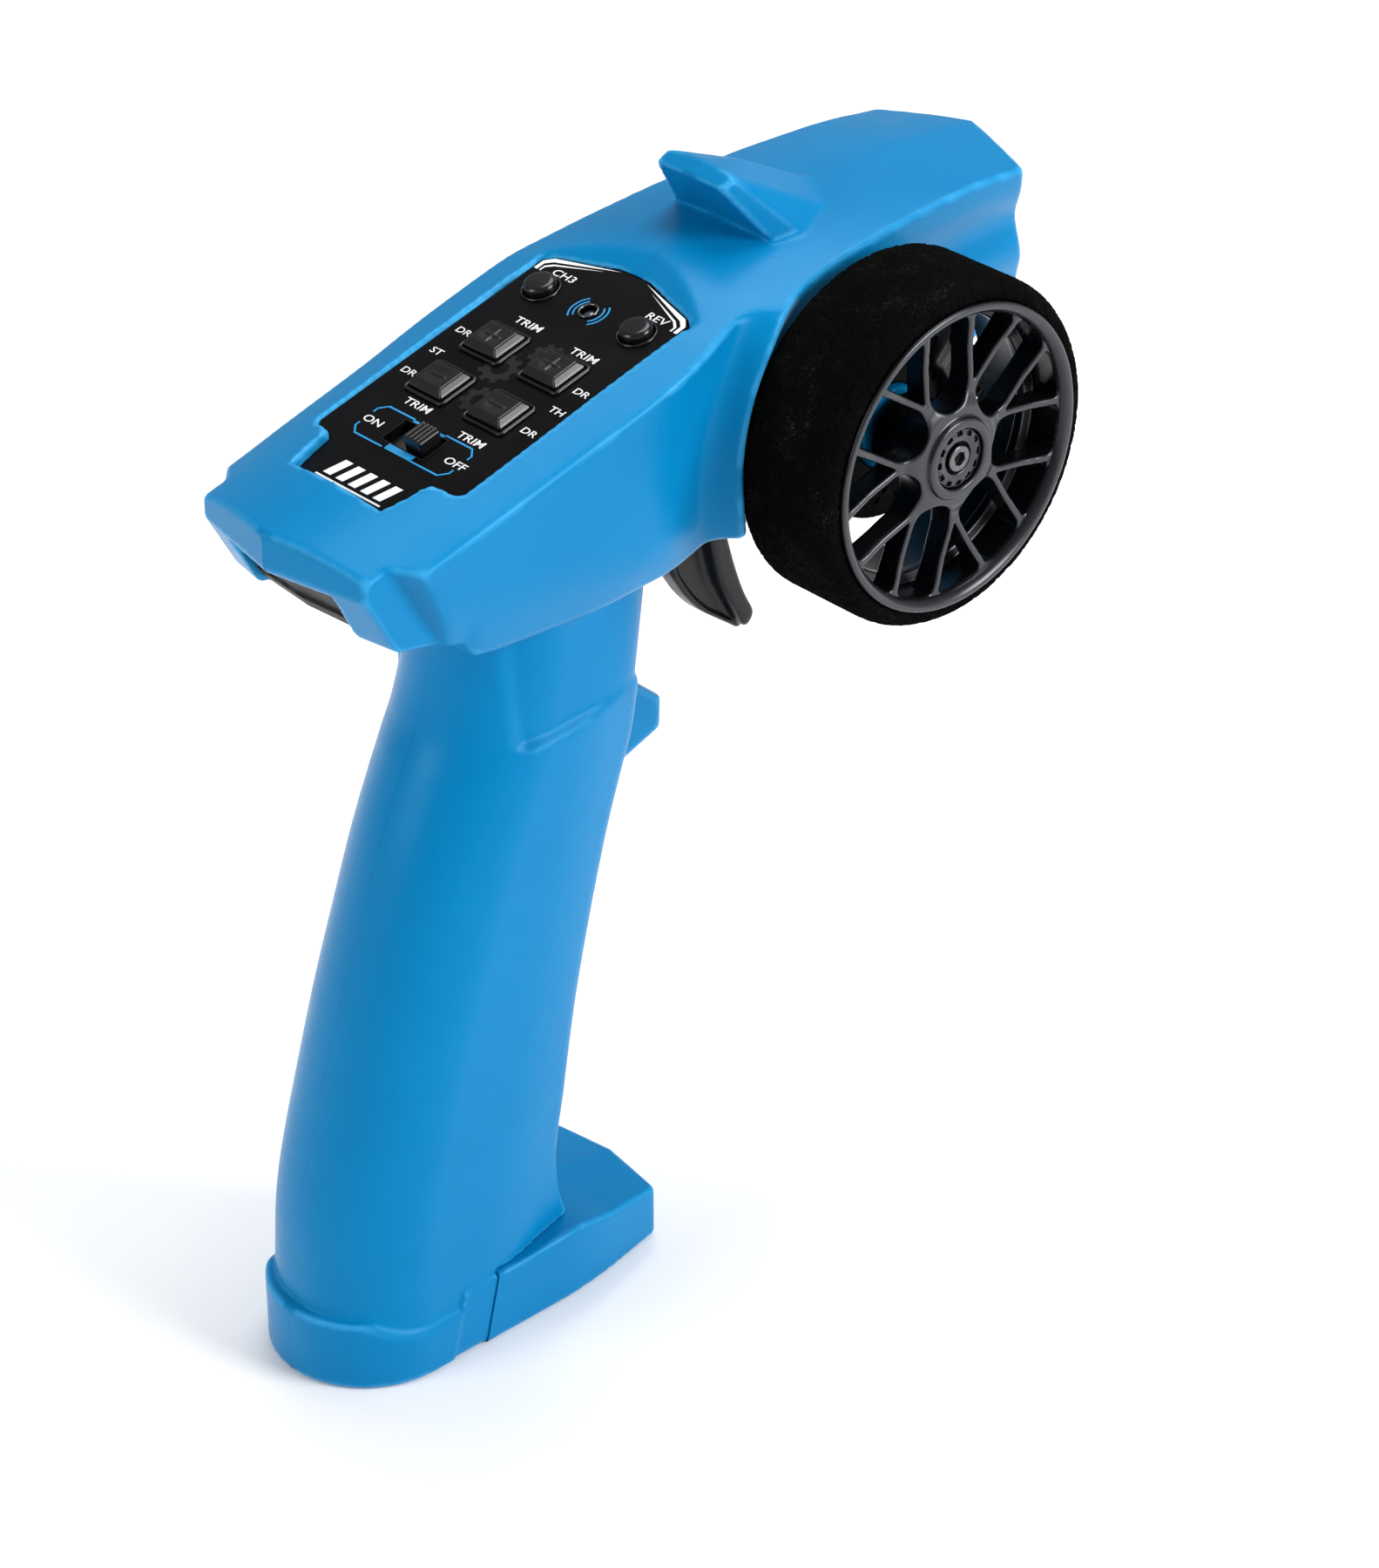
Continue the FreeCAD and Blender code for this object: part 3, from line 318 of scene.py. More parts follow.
# ---------------------------------------------------------------- materials
class Shader:
    """A Principled material with small helpers for its procedural inputs."""

    def __init__(self, name, **constants):
        self.material = bpy.data.materials.new(name)
        self.material.use_nodes = True
        self.tree = self.material.node_tree
        self.shader = self.tree.nodes["Principled BSDF"]
        for socket, value in constants.items():
            self.shader.inputs[socket.replace("_", " ")].default_value = value
        coordinates = self.add("TexCoord")
        self.place, self.facing = coordinates.outputs["Object"], coordinates.outputs["Normal"]

    def add(self, kind, inputs=None, **settings):
        """A node; each input is another node's output or a plain value."""
        node = self.tree.nodes.new("ShaderNode" + kind)
        for key, value in settings.items():
            setattr(node, key, value)
        for socket, value in (inputs or {}).items():
            if isinstance(value, bpy.types.NodeSocket):
                self.tree.links.new(value, node.inputs[socket])
            else:
                node.inputs[socket].default_value = value
        return node

    def noise(self, scale, detail=4.0, rough=0.6, stretch=None):
        source = self.place
        if stretch:
            source = self.add("Mapping", {"Scale": stretch, "Vector": source}).outputs["Vector"]
        inputs = {"Scale": scale, "Detail": detail, "Roughness": rough, "Vector": source}
        return self.add("TexNoise", inputs).outputs["Fac"]

    def spread(self, factor, low, high, start=0.3, end=0.7):
        """Maps a texture's factor to a range of numbers."""
        inputs = {"From Min": start, "From Max": end, "To Min": low, "To Max": high, "Value": factor}
        return self.add("MapRange", inputs).outputs["Result"]

    def colours(self, factor, *stops):
        """A colour ramp; each stop is (place, colour)."""
        node = self.add("ValToRGB", {"Fac": factor})
        elements = node.color_ramp.elements
        while len(elements) < len(stops):
            elements.new(0.5)
        for element, (place, colour) in zip(elements, stops):
            element.position = place
            element.color = (*colour, 1.0)
        return node.outputs["Color"]

    def bump(self, height, depth, strength=1.0, below=None):
        inputs = {"Strength": strength, "Distance": depth, "Height": height}
        if below:
            inputs["Normal"] = below
        return self.add("Bump", inputs).outputs["Normal"]

    def finish(self, colour, roughness=None, normal=None):
        for output, socket in ((colour, "Base Color"), (roughness, "Roughness"), (normal, "Normal")):
            if output is not None:
                self.tree.links.new(output, self.shader.inputs[socket])
        return self.material


def moulded(name, dark, light, rough, grain=0.00002, edge=None, **constants):
    """Moulded plastic: a drift in colour and gloss, a fine grain and, if edge has a colour, a painted highlight
    that makes convex edges paler.
    """
    kit = Shader(name, **constants)
    drift = kit.noise(35.0, 3.0)
    fine = kit.noise(1800.0, 3.0, 0.55)
    colour = kit.colours(drift, (0.3, dark), (0.7, light))
    if edge:
        # Painted highlight: convex edges are mixed towards the paler edge colour, standing in for light caught
        # on rounded edges.
        bend = kit.add("Attribute", attribute_name="edge").outputs["Fac"]
        highlight_share = kit.spread(bend, 0.0, 0.65, 0.014, 0.050)
        colour = kit.add("Mix", {0: highlight_share, 6: colour, 7: (*edge, 1.0)}, data_type="RGBA").outputs[2]
    roughness = kit.spread(kit.noise(220.0, 5.0, 0.7), rough - 0.04, rough + 0.05)
    return kit.finish(colour, roughness, kit.bump(fine, grain, 0.6))


def metal(name, dark, light, rough):
    """Turned or drawn metal with fine marks across it."""
    kit = Shader(name, Metallic=1.0)
    marks = kit.noise(900.0, 4.0, 0.6, (0.15, 1.0, 1.0))
    colour = kit.colours(marks, (0.25, dark), (0.75, light))
    return kit.finish(colour, kit.spread(marks, rough - 0.05, rough + 0.1), kit.bump(marks, 0.00001, 0.4))


def foam_material():
    """Open-cell foam rubber: dark, with a little pale dust caught on the cell walls."""
    kit = Shader("foam", Specular_IOR_Level=0.02)
    fine = kit.noise(2600.0, 3.0, 0.7)
    broad = kit.noise(160.0, 5.0, 0.7)
    cell = kit.add("TexVoronoi", {"Scale": 2200.0, "Vector": kit.place}).outputs["Distance"]
    dust = kit.add("Math", {0: fine, 1: broad}, operation="MULTIPLY").outputs[0]
    stops = (0.25, (0.0022, 0.0022, 0.0022)), (0.36, (0.0055, 0.0054, 0.0052)), (0.46, (0.045, 0.043, 0.038))
    normal = kit.bump(fine, 0.0003, 0.7, kit.bump(cell, 0.0003, 0.8))
    return kit.finish(kit.colours(dust, *stops), kit.spread(broad, 0.94, 1.0), normal)


def rim_material():
    """Dark plated plastic with painted light and shade: faces that look outwards are painted a lighter grey as
    if lit, the walls between them are painted black as if in shade.
    """
    kit = Shader("rim_grey", Metallic=0.55)
    painted_light_facing = kit.add("SeparateXYZ", {"Vector": kit.facing}).outputs["X"]
    rub = kit.noise(400.0, 4.0, 0.65)
    # Painted light and shade: the colour runs from black on the walls to a lighter grey on faces that turn
    # outwards.
    shade = kit.add("Math", {0: rub, 1: 0.12, 2: painted_light_facing}, operation="MULTIPLY_ADD").outputs[0]
    stops = (0.15, (0.006, 0.006, 0.007)), (0.6, (0.017, 0.018, 0.021)), (0.95, (0.042, 0.044, 0.051))
    normal = kit.bump(kit.noise(2600.0, 3.0), 0.000008, 0.5)
    return kit.finish(kit.colours(shade, *stops), kit.spread(rub, 0.20, 0.29), normal)


def film_material():
    """The printed control film: black, a little glossy, with faint waves."""
    kit = Shader("panel_film", Specular_IOR_Level=0.06)
    wave = kit.noise(60.0, 2.0)
    fine = kit.noise(2500.0, 2.0)
    colour = kit.colours(wave, (0.3, (0.0025, 0.0025, 0.003)), (0.7, (0.0045, 0.0045, 0.0052)))
    normal = kit.bump(fine, 0.000006, 0.5, kit.bump(wave, 0.00008, 0.3))
    return kit.finish(colour, kit.spread(wave, 0.26, 0.34), normal)


# The last colour is the painted highlight on convex edges.
BLUE = moulded(
    "case_blue", (0.0002, 0.168, 0.395), (0.0004, 0.182, 0.420), 0.31, 0.000004, (0.05, 0.36, 0.70),
    IOR=1.32, Specular_Tint=(0.25, 0.7, 1.0, 1.0),
)
BLACK_SATIN = moulded(
    "trigger_black", (0.006, 0.006, 0.007), (0.009, 0.009, 0.010), 0.34, Specular_IOR_Level=0.25,
)
INSERT_BLACK = moulded(
    "insert_black", (0.003, 0.003, 0.0035), (0.005, 0.005, 0.0055), 0.42, Specular_IOR_Level=0.08,
)
RIM_GREY = rim_material()
CALIPER_GREY = moulded("caliper_grey", (0.028, 0.028, 0.031), (0.038, 0.038, 0.042), 0.40)
KEY_BLACK = moulded(
    "key_black", (0.0030, 0.0028, 0.0030), (0.0045, 0.0042, 0.0045), 0.20, 0.000003, Specular_IOR_Level=0.42,
)
SENSOR_BLACK = moulded("sensor_black", (0.015, 0.015, 0.017), (0.022, 0.022, 0.024), 0.5)
BOARD_GREEN = moulded("board_green", (0.006, 0.07, 0.03), (0.01, 0.10, 0.045), 0.35)
LEAD_RED = moulded("lead_red", (0.32, 0.012, 0.01), (0.4, 0.02, 0.015), 0.4)
PRINT_WHITE = moulded("print_white", (0.72, 0.73, 0.75), (0.8, 0.8, 0.82), 0.4)
PRINT_BLUE = moulded("print_blue", (0.002, 0.24, 0.55), (0.003, 0.27, 0.60), 0.4)
PRINT_GREY = moulded(
    "print_grey", (0.009, 0.008, 0.008), (0.016, 0.015, 0.015), 0.4, Specular_IOR_Level=0.1,
)
STEEL = metal("steel", (0.50, 0.50, 0.52), (0.72, 0.72, 0.74), 0.22)
DARK_STEEL = metal("dark_steel", (0.10, 0.10, 0.105), (0.18, 0.18, 0.19), 0.20)
BRASS = metal("brass", (0.62, 0.43, 0.18), (0.80, 0.60, 0.30), 0.25)
CELL_JACKET = metal("cell_jacket", (0.35, 0.36, 0.38), (0.5, 0.5, 0.53), 0.3)
LAMP = moulded(
    "lamp_lens", (0.02, 0.03, 0.045), (0.05, 0.07, 0.10), 0.12, Coat_Weight=1.0, Transmission_Weight=0.3,
)
FOAM = foam_material()
FILM = film_material()

# CAD nodes that are seen as they are.
CARRIED_OVER = {
    "label_panel": FILM, "main_board": BOARD_GREEN, "tact_switches": SENSOR_BLACK, "aerial": BRASS,
    "power_switch": SENSOR_BLACK, "steering_shaft": STEEL, "shaft_bush": BRASS, "steering_arm": SENSOR_BLACK,
    "steering_sensor": SENSOR_BLACK, "steering_spring": STEEL, "trigger_pin": STEEL,
    "throttle_sensor": SENSOR_BLACK, "trigger_spring": STEEL, "battery_tray": SENSOR_BLACK,
    "battery_cells": CELL_JACKET, "battery_contacts": BRASS, "battery_leads": LEAD_RED, "case_screws": STEEL,
}
for node, material in CARRIED_OVER.items():
    mesh = frame["nodes"][node].data
    mesh.materials.clear()
    mesh.materials.append(material)


# ---------------------------------------------------------------- the case
TAIL_Y = -34.0
DECK_MIDDLE = (
    (-40, 152.1), (-20, 157.6), (0, 163.1), (20, 168.5), (37, 172.7), (47, 174.5), (61, 175.9),
    (76, 177.0), (95, 177.3), (108, 176.6), (120, 175.3),
)
DECK_EDGE = (
    (-40, 147.0), (-22.8, 151.7), (-10.6, 155.2), (4.5, 159.6), (19.7, 164.2), (35, 168.6), (42.2, 170.2),
    (53.8, 172.2), (67.3, 174.1), (83.5, 175.1), (94.6, 175.3), (108, 174.4), (120, 173.2),
)
EDGE_HALF = (
    (-40, 23.4), (-22.8, 23.4), (-10.6, 23.7), (4.5, 23.9), (19.7, 24.4), (34, 24.2), (42.2, 23.1),
    (53.8, 21.8), (67.3, 20.2), (83.5, 18.8), (94.6, 18.0), (108, 17.0), (120, 16.2),
)
CREASE_Z = (
    (-40, 143.5), (-17.6, 141.8), (3.3, 140.5), (25.6, 137.9), (34.4, 139.4), (47, 143), (76, 150), (95, 156),
    (120, 161),
)
CREASE_HALF = (
    (-40, 21.2), (-17.6, 22.4), (3.3, 23.3), (25.6, 23.7), (36, 24.0), (47, 23.0), (61, 20.7), (76, 19.0),
    (95, 17.0), (120, 14.2),
)
LIP_Z = (
    (-40, 138.6), (-30, 138.4), (-24.6, 137.6), (-13.5, 135.0), (-10, 131.9), (-4, 131.2), (12.8, 130.8),
    (23, 131.7), (32.7, 133.1), (37.5, 134.7), (44, 136.0), (61, 136.5), (76, 138.0), (95, 143.5), (120, 153.0),
)
LIP_HALF = (
    (-40, 18.0), (-23, 20.3), (-10, 20.2), (20, 20.8), (37, 22.6), (47, 21.8), (61, 19.4), (76, 18.0),
    (95, 15.5), (120, 13.0),
)
ARCH_RADIUS = 33.5


def head_field(x, y, z):
    """The head: crowned deck, edge, tapering sides with a crease, V tail and V nose."""
    side = np.abs(x)
    middle, edge, half = smooth(DECK_MIDDLE, y), smooth(DECK_EDGE, y), smooth(EDGE_HALF, y)
    ridge = ramp(y, 60, 112)
    across = np.sqrt(side * side + 1.0) / half
    crown = across ** (1.95 - 0.65 * ridge)
    deck = (z - (middle - (middle - edge) * crown)) * 0.95
    crease_z, crease_half = smooth(CREASE_Z, y), smooth(CREASE_HALF, y)
    lip_z, lip_half = smooth(LIP_Z, y), smooth(LIP_HALF, y)
    upper = crease_half + (half - crease_half) * (z - crease_z) / (edge - crease_z)
    lower = lip_half + (crease_half - lip_half) * (z - lip_z) / (crease_z - lip_z)
    reach = join(upper, lower, 1.2)
    # Beside the nose the wall swings in below the edge and out again: a long shallow flute.
    fluting = ramp(y, 66, 104)
    down = edge - z
    reach = reach - fluting * 1.5 * np.exp(-((down - 9.0) / 3.6) ** 2)
    reach = reach + fluting * 0.9 * np.exp(-((down - 16.0) / 3.2) ** 2)
    # Round the wheel the right wall sinks into a cove and then flares out into an arch.
    from_axle = axle_distance(y, z)
    behind = ramp(-y, -58, -44) * ramp(x, 0, 12)
    cove = np.exp(-(np.maximum(from_axle - ARCH_RADIUS - 1.5, 0) / 6.5) ** 2)
    cove = cove * ramp(from_axle, ARCH_RADIUS - 3.0, ARCH_RADIUS + 1.6)
    flare = np.exp(-((from_axle - ARCH_RADIUS + 3.6) / 1.7) ** 2)
    reach = reach + behind * (flare * 2.4 - cove * 2.0)
    walls = side - reach
    floor = (lip_z - z) * 0.95
    head = meet(meet(deck, walls, 0.9), floor, 1.4)
    # Tail: two shallow slanting faces, then a notch and the wings' slanting back edges.
    lean = math.atan2(3.6, 18.6)
    below = np.maximum(148.0 - z, 0) * 0.55
    tail = (-(y - TAIL_Y - below) * math.cos(lean) + side * math.sin(lean)) * 0.93
    wing_y = -22.9 + (152.4 - z) * 0.567
    slant = math.atan2(3.3, 4.3)
    wing = -(y - wing_y) * math.cos(slant) + (side - 23.5) * math.sin(slant)
    tail = meet(tail, join(side - 19.3, wing, 0.8), 0.7)
    head = meet(head, tail, 0.9)
    # Nose: two slanting faces that meet in an upright edge, leaning out a little below.
    nose_lean = math.atan2(5.4, 16.4)
    nose_y = 114.7 + (176.0 - z) * 0.06
    nose = (y - nose_y) * math.cos(nose_lean) + side * math.sin(nose_lean)
    return meet(head, nose, 1.0)


GRIP_REAR = (
    (-4, -36.2), (13, -35.4), (25, -34.6), (31, -33.7), (39, -31.8), (47, -29.5), (62, -25.0), (76, -20.2),
    (90, -15.1), (103, -9.4), (109, -6.6), (116, -4.4), (124, -3.0), (150, -2.4),
)
GRIP_FRONT = (
    (-4, 14.6), (10, 13.4), (14, 12.4), (20, 10.4), (27, 9.7), (40, 12.0), (57, 15.4), (70, 18.4),
    (81, 21.3), (88, 23.4), (95, 25.9), (102, 28.3), (122, 31.3), (150, 34.4),
)
GRIP_HALF, GRIP_FRONT_ROUND = 15.9, 6.0


def grip_field(x, y, z):
    """The grip: round back, flat sides, softly cornered front, side lowered above the finger rest."""
    rear, front = smooth(GRIP_REAR, z), smooth(GRIP_FRONT, z)
    half = GRIP_HALF
    middle, reach = (rear + front) / 2, (front - rear) / 2
    side = np.abs(x)
    # Above the bevel that a finger rests on, the side lies lower.
    lowered = ramp(y, 0.6, 4.4) * ramp(z - 0.08 * y, 106.6, 109.0)
    corner = 3.0 + (GRIP_FRONT_ROUND - 3.0) * ramp(z, 18, 60)
    r = np.where(y < middle, GRIP_HALF * 0.985, corner).astype(np.float32)
    half = half - 1.5 * lowered
    qx = side - half + r
    qy = np.abs(y - middle) - reach + r
    grip = length(np.maximum(qx, 0), np.maximum(qy, 0)) + np.minimum(np.maximum(qx, qy), 0) - r
    # Low down, a flat facet on each side draws the grip in towards its front edge.
    facet = plane_field(side, y, z, (16.0, -5.0, 13.0), (12.2, 12.3, 13.0), (13.9, 8.3, 30.0), (0, 0, 20))
    return meet(grip, facet, 1.2)


HORN_TOP = ((0.0, 51.9, 184.2), (7.4, 51.2, 184.9), (7.5, 53.8, 186.2), (0.0, 54.2, 186.8))
HORN_BASE = (
    (0.0, 59.5, 174.5), (11.1, 58.8, 175.1), (11.8, 63.7, 176.0), (8.2, 73.2, 176.0), (0.0, 79.0, 176.0),
)


def horn_field(x, y, z):
    """The aerial housing: a leaning wedge with an overhanging back, side facets and a falling front."""
    side = np.sqrt(x * x + 0.04)
    inside = (0.0, 62.0, 177.0)
    rear_top, corner_top, front_top, crest = HORN_TOP
    _, side_rear, side_front, tail, tip = HORN_BASE
    faces = (
        (corner_top, rear_top, side_rear), (corner_top, side_rear, side_front), (front_top, side_front, tail),
        (front_top, tail, tip), (corner_top, front_top, crest),
    )
    solid = (z - 190.0).astype(np.float32)
    for face in faces:
        solid = meet(solid, plane_field(side, y, z, *face, inside), 0.4)
    bulge = 1.5 * np.sin(np.clip((y - 54.2) / 24.8, 0, 1) * math.pi)
    front = (z - (186.8 - (y - 54.2) * 10.8 / 24.8 + bulge - side * 0.06)) * 0.9
    solid = meet(solid, front, 0.25)
    return meet(solid, 168.0 - z)


NUB_SIDE = [(22.0, 86.5), (33.3, 90.4), (40.4, 93.0), (40.7, 98.7), (35.8, 102.9), (22.0, 105.0)]
FOOT_HALF, FOOT_ROUND_Y = 16.8, -20.6
FOOT_TOP = ((-40, 12.9), (-4, 12.7), (11, 13.2), (20, 12.0), (33.2, 9.8), (40, 8.8))
SEAM_FOOT_Y, SEAM_LEAN = -9.4, 0.236
SEAM_GAP, SEAM_STEP = 0.06, 0.3


def foot_plan(x, y, inset=0.0):
    """The foot from above: half round behind, straight sides, tapering to a shallow V in front."""
    side = np.abs(x)
    half = FOOT_HALF - inset
    back = length(side, np.minimum(y - FOOT_ROUND_Y, 0)) - half
    taper = math.atan2(3.5, 18.0)
    cheek = (side - half) * math.cos(taper) + (y - 13.0) * math.sin(taper)
    toe_lean = math.atan2(1.6, 12.9)
    toe = (y - 33.2 + inset) * math.cos(toe_lean) + side * math.sin(toe_lean)
    return meet(meet(back, cheek, 1.5), toe, 1.2)


def foot_field(x, y, z, inset=0.0):
    """The foot's outside; the top has a low ridge, and only the back has a broad bevel round it."""
    side = np.abs(x)
    top = (z - smooth(FOOT_TOP, y) + 0.05 * side * ramp(y, 10, 22) + inset) * 0.98
    flat = 9.0 * ramp(y - SEAM_LEAN * np.minimum(z, 15.0), -16.6, -16.2)
    bevel = (z - 10.6 + (side - 15.0) * 0.9 - flat) * 0.74 + inset
    solid = meet(foot_plan(x, y, inset), meet(top, bevel, 0.6), 0.9)
    return meet(solid, inset - z, 0.7)


def seam_field(y, z, gap):
    """Negative behind the slanting seam between the case and its battery door."""
    return (y - (SEAM_FOOT_Y + SEAM_LEAN * np.minimum(z, 15.0)) + gap) * 0.97


def body_field(x, y, z):
    """The case's outside, before its openings are cut."""
    side = np.abs(x)
    head = head_field(x, y, z)
    drum = axle_distance(y, z) - 18.0
    drum = meet(drum, np.abs(x - 1.0) - 18.0, 1.5)
    head = join(head, drum, 2.0)
    grip = meet(grip_field(x, y, z), z - 150.0)
    nub = meet(outline_field(y, z, NUB_SIDE), side - 5.6, 1.6)
    grip = join(grip, nub, 2.2)
    body = join(head, grip, 5.0)
    return join(body, horn_field(x, y, z), 0.8)


REAR_OPENING = [(0.0, 146.9), (11.9, 146.8), (11.7, 143.0), (11.2, 134.0), (0.0, 134.0)]
PANEL_OUTLINE = [
    (10.2, 0.0), (11.2, 4.6), (11.8, 8.6), (16.0, 9.6), (16.6, 10.6), (16.6, 57.2), (14.8, 58.6), (2.6, 61.8),
]


def panel_axes(y, z):
    """Up the slope and out of the panel, from the panel's own corner."""
    c, s = math.cos(PANEL_TILT), math.sin(PANEL_TILT)
    return (y - PANEL_Y) * c + (z - PANEL_Z) * s, (z - PANEL_Z) * c - (y - PANEL_Y) * s


def openings_field(x, y, z):
    """Everything that is cut out of the case: panel seat, facets, back opening, trigger slot, shaft bore."""
    side = np.abs(x)
    up, out = panel_axes(y, z)
    outline = mirrored_field(side, up, PANEL_OUTLINE) - 0.15
    seat = meet(outline, -PANEL_THICK - 0.05 - out)
    front_edge = 61.6 - side * 0.215
    facet = (up - front_edge) * 0.32 - out
    facet = meet(meet(facet * 0.97, side - 17.2, 0.4), up - 76.0)
    facet = meet(facet, 56.0 - up)
    window = meet(outline + 2.6, np.abs(out + 5.0) - 6.0)
    hole = join(join(seat, facet), window)
    back = mirrored_field(side, z, REAR_OPENING)
    back = meet(back, y + 20.0)
    slot = box_field(x, y, z, (0, 51.0, 136.0), (5.5, 13.0, 12.5), 1.0)
    bore = meet(axle_distance(y, z) - 4.6, -x)
    return join(join(hole, back), join(slot, bore))


# Each case screw: Y, Z and the X of the left half's outer face there.
SCREW_PLACES = (
    (-11.0, 141.5, -22.0), (100.0, 163.0, -16.5), (6.0, 112.0, -15.9), (-3.0, 78.0, -16.0),
    (31.0, 143.0, -23.4),
)
POST_RADIUS, WELL_RADIUS, SCREW_HOLE = 3.5, 2.62, 1.3
FLOOR_THICK = 2.0


def case_field(x, y, z):
    """The hollow case: body and rear of the foot, less the inside and the openings."""
    body = body_field(x, y, z)
    behind = seam_field(y, z, SEAM_GAP)
    above = smooth(FOOT_TOP, np.minimum(y, 11.0)) + SEAM_GAP - z
    body = meet(meet(body, join(behind, above), 0.1), 0.4 - z)
    # A second, shallow step runs parallel to the seam.
    foot = foot_field(x, y, z) + SEAM_STEP * ramp(y - SEAM_LEAN * z, -16.6, -16.2)
    foot = meet(foot, behind)
    whole = join(body, foot, 0.5)
    wall = 1.6 + 0.5 * ramp(z, 100, 130)
    inside = meet(whole + wall, FLOOR_THICK - z)
    shell = cut(cut(whole, inside), openings_field(x, y, z), 0.35)
    for at_y, at_z, face in SCREW_PLACES:
        ring = length(y - at_y, z - at_z)
        post = meet(ring - POST_RADIUS, np.abs(x - face - 3.2) - 2.6, 0.3)
        well = meet(ring - WELL_RADIUS, x - face - 2.4)
        hole = meet(ring - SCREW_HOLE, x - face - 9.0)
        shell = cut(cut(join(shell, post, 0.3), well, 0.25), hole)
    return shell


SHARP_ANGLE = math.radians(50)


def vertex_places(piece):
    return vertex_values(piece, "co") / MM


def draw_edge(place, near, field, along_a, along_b):
    """Moves vertices within a plane, given by two directions, until they lie on the field's surface."""
    spot = place[near].copy()
    a, b = np.array(along_a, np.float32), np.array(along_b, np.float32)
    for _ in range(2):
        here = field(*spot.T)
        slope_a = (field(*(spot + a * 0.05).T) - here) / 0.05
        slope_b = (field(*(spot + b * 0.05).T) - here) / 0.05
        size = slope_a ** 2 + slope_b ** 2
        move = np.where((np.abs(here) < 0.45) & (size > 0.3), -here / np.maximum(size, 0.3), 0)
        spot += (move * slope_a)[:, None] * a + (move * slope_b)[:, None] * b
    place[near] = spot


def past_seam(place):
    """How far in front of the door's seam each vertex lies."""
    return place[:, 1] - (SEAM_FOOT_Y + SEAM_LEAN * place[:, 2])


def draw_seam(place, gap, field):
    """Sets the rim along the door's seam exactly on the seam plane and on the outside."""
    off = past_seam(place) + gap
    near = (np.abs(off) < 0.3) & (place[:, 2] < 13.0) & (np.abs(field(*place.T)) < 0.4)
    place[near, 1] -= off[near]
    draw_edge(place, near, field, (1, 0, 0), (0, SEAM_LEAN, 1))


def mark_edge_highlights(piece, place):
    """Stores how convex the skin is round each vertex, for the painted highlight on convex edges."""
    mesh = piece.data
    ends = np.empty(len(mesh.edges) * 2, np.int32)
    mesh.edges.foreach_get("vertices", ends)
    here = np.concatenate([ends[0::2], ends[1::2]])
    there = np.concatenate([ends[1::2], ends[0::2]])
    mean = averager(here, there, len(place))
    middle = np.stack([mean(place[:, k]) for k in range(3)], 1)
    bend = ((place - middle) * vertex_values(piece, "normal")).sum(1)
    # The rims where two pieces meet stay unmarked.
    off_seam = np.abs(past_seam(place)) + 9.0 * (place[:, 2] > 15.0)
    bend[(np.abs(place[:, 0]) < 1.1) | (off_seam < 1.1)] = 0
    for _ in range(3):
        bend = (bend + mean(bend)) / 2
    mesh.attributes.new("edge", "FLOAT", "POINT").data.foreach_set("value", bend.astype(np.float32))


def finish_shell(piece, place, *finish):
    """Takes over the drawn rims and marks the convex edges of a blue shell for their painted highlight."""
    piece.data.vertices.foreach_set("co", (place * MM).ravel())
    piece.data.update()
    mark_edge_highlights(piece, vertex_places(piece))
    piece.data.set_sharp_from_angle(angle=SHARP_ANGLE)
    finish_piece(piece, *finish)


def make_half_case(name, sign):
    """One half of the case, closed along the middle plane, with its rims drawn onto their planes."""
    step, rim = 0.5, 0.012
    span = (-26.75, 0.75) if sign < 0 else (-0.75, 26.75)
    low, high = (span[0], -39.5, -1.0), (span[1], 118.0, 189.0)
    piece = field_mesh("case_" + name, lambda x, y, z: meet(case_field(x, y, z), -sign * x), low, high, step)
    place = vertex_places(piece)
    near = np.abs(place[:, 0]) < 0.6 * step
    place[near, 0] = sign * rim
    draw_edge(place, near, case_field, (0, 1, 0), (0, 0, 1))
    draw_seam(place, SEAM_GAP, lambda x, y, z: foot_field(x, y, z) + SEAM_STEP)
    finish_shell(piece, place, "case", "case_blue", BLUE, name)


# ---------------------------------------------------------------- battery door and back insert
def door_field(x, y, z):
    """The sliding foot: a floor, walls beside the opening for the grip, and a hollow, sloping toe."""
    ahead = -seam_field(y, z, -SEAM_GAP)
    solid = meet(foot_field(x, y, z), ahead)
    hollow = meet(foot_plan(x, y, 2.2), FLOOR_THICK - z, 0.6)
    grip = meet(grip_field(x, y, np.maximum(z, 13.0)) + 0.9, FLOOR_THICK - z, 0.3)
    hollow = join(hollow, meet(grip, hollow - 1.4))
    mouth = meet(join(grip, meet(hollow, z - 11.4)), y - 12.9)
    toe_room = meet(meet(hollow, z - 9.6 + 0.12 * (y - 12.0)), y - 29.5, 0.5)
    return cut(cut(solid, mouth, 0.2), toe_room, 0.3)


def insert_field(x, y, z):
    """The black block in the tail: a slanting face with a raised lower rail."""
    side = np.abs(x)
    outline = mirrored_field(side, z, REAR_OPENING) + 0.25
    face_y = -32.2 + 0.72 * np.maximum(148.0 - z, 0) + 0.08 * side
    face = (face_y - y) * 0.87
    rail = meet((face_y - 0.6 - y) * 0.87, z - 141.2, 0.3)
    block = meet(outline, join(face, rail, 0.2), 0.4)
    return meet(meet(block, 138.4 - z, 0.4), y + 20.2, 0.3)


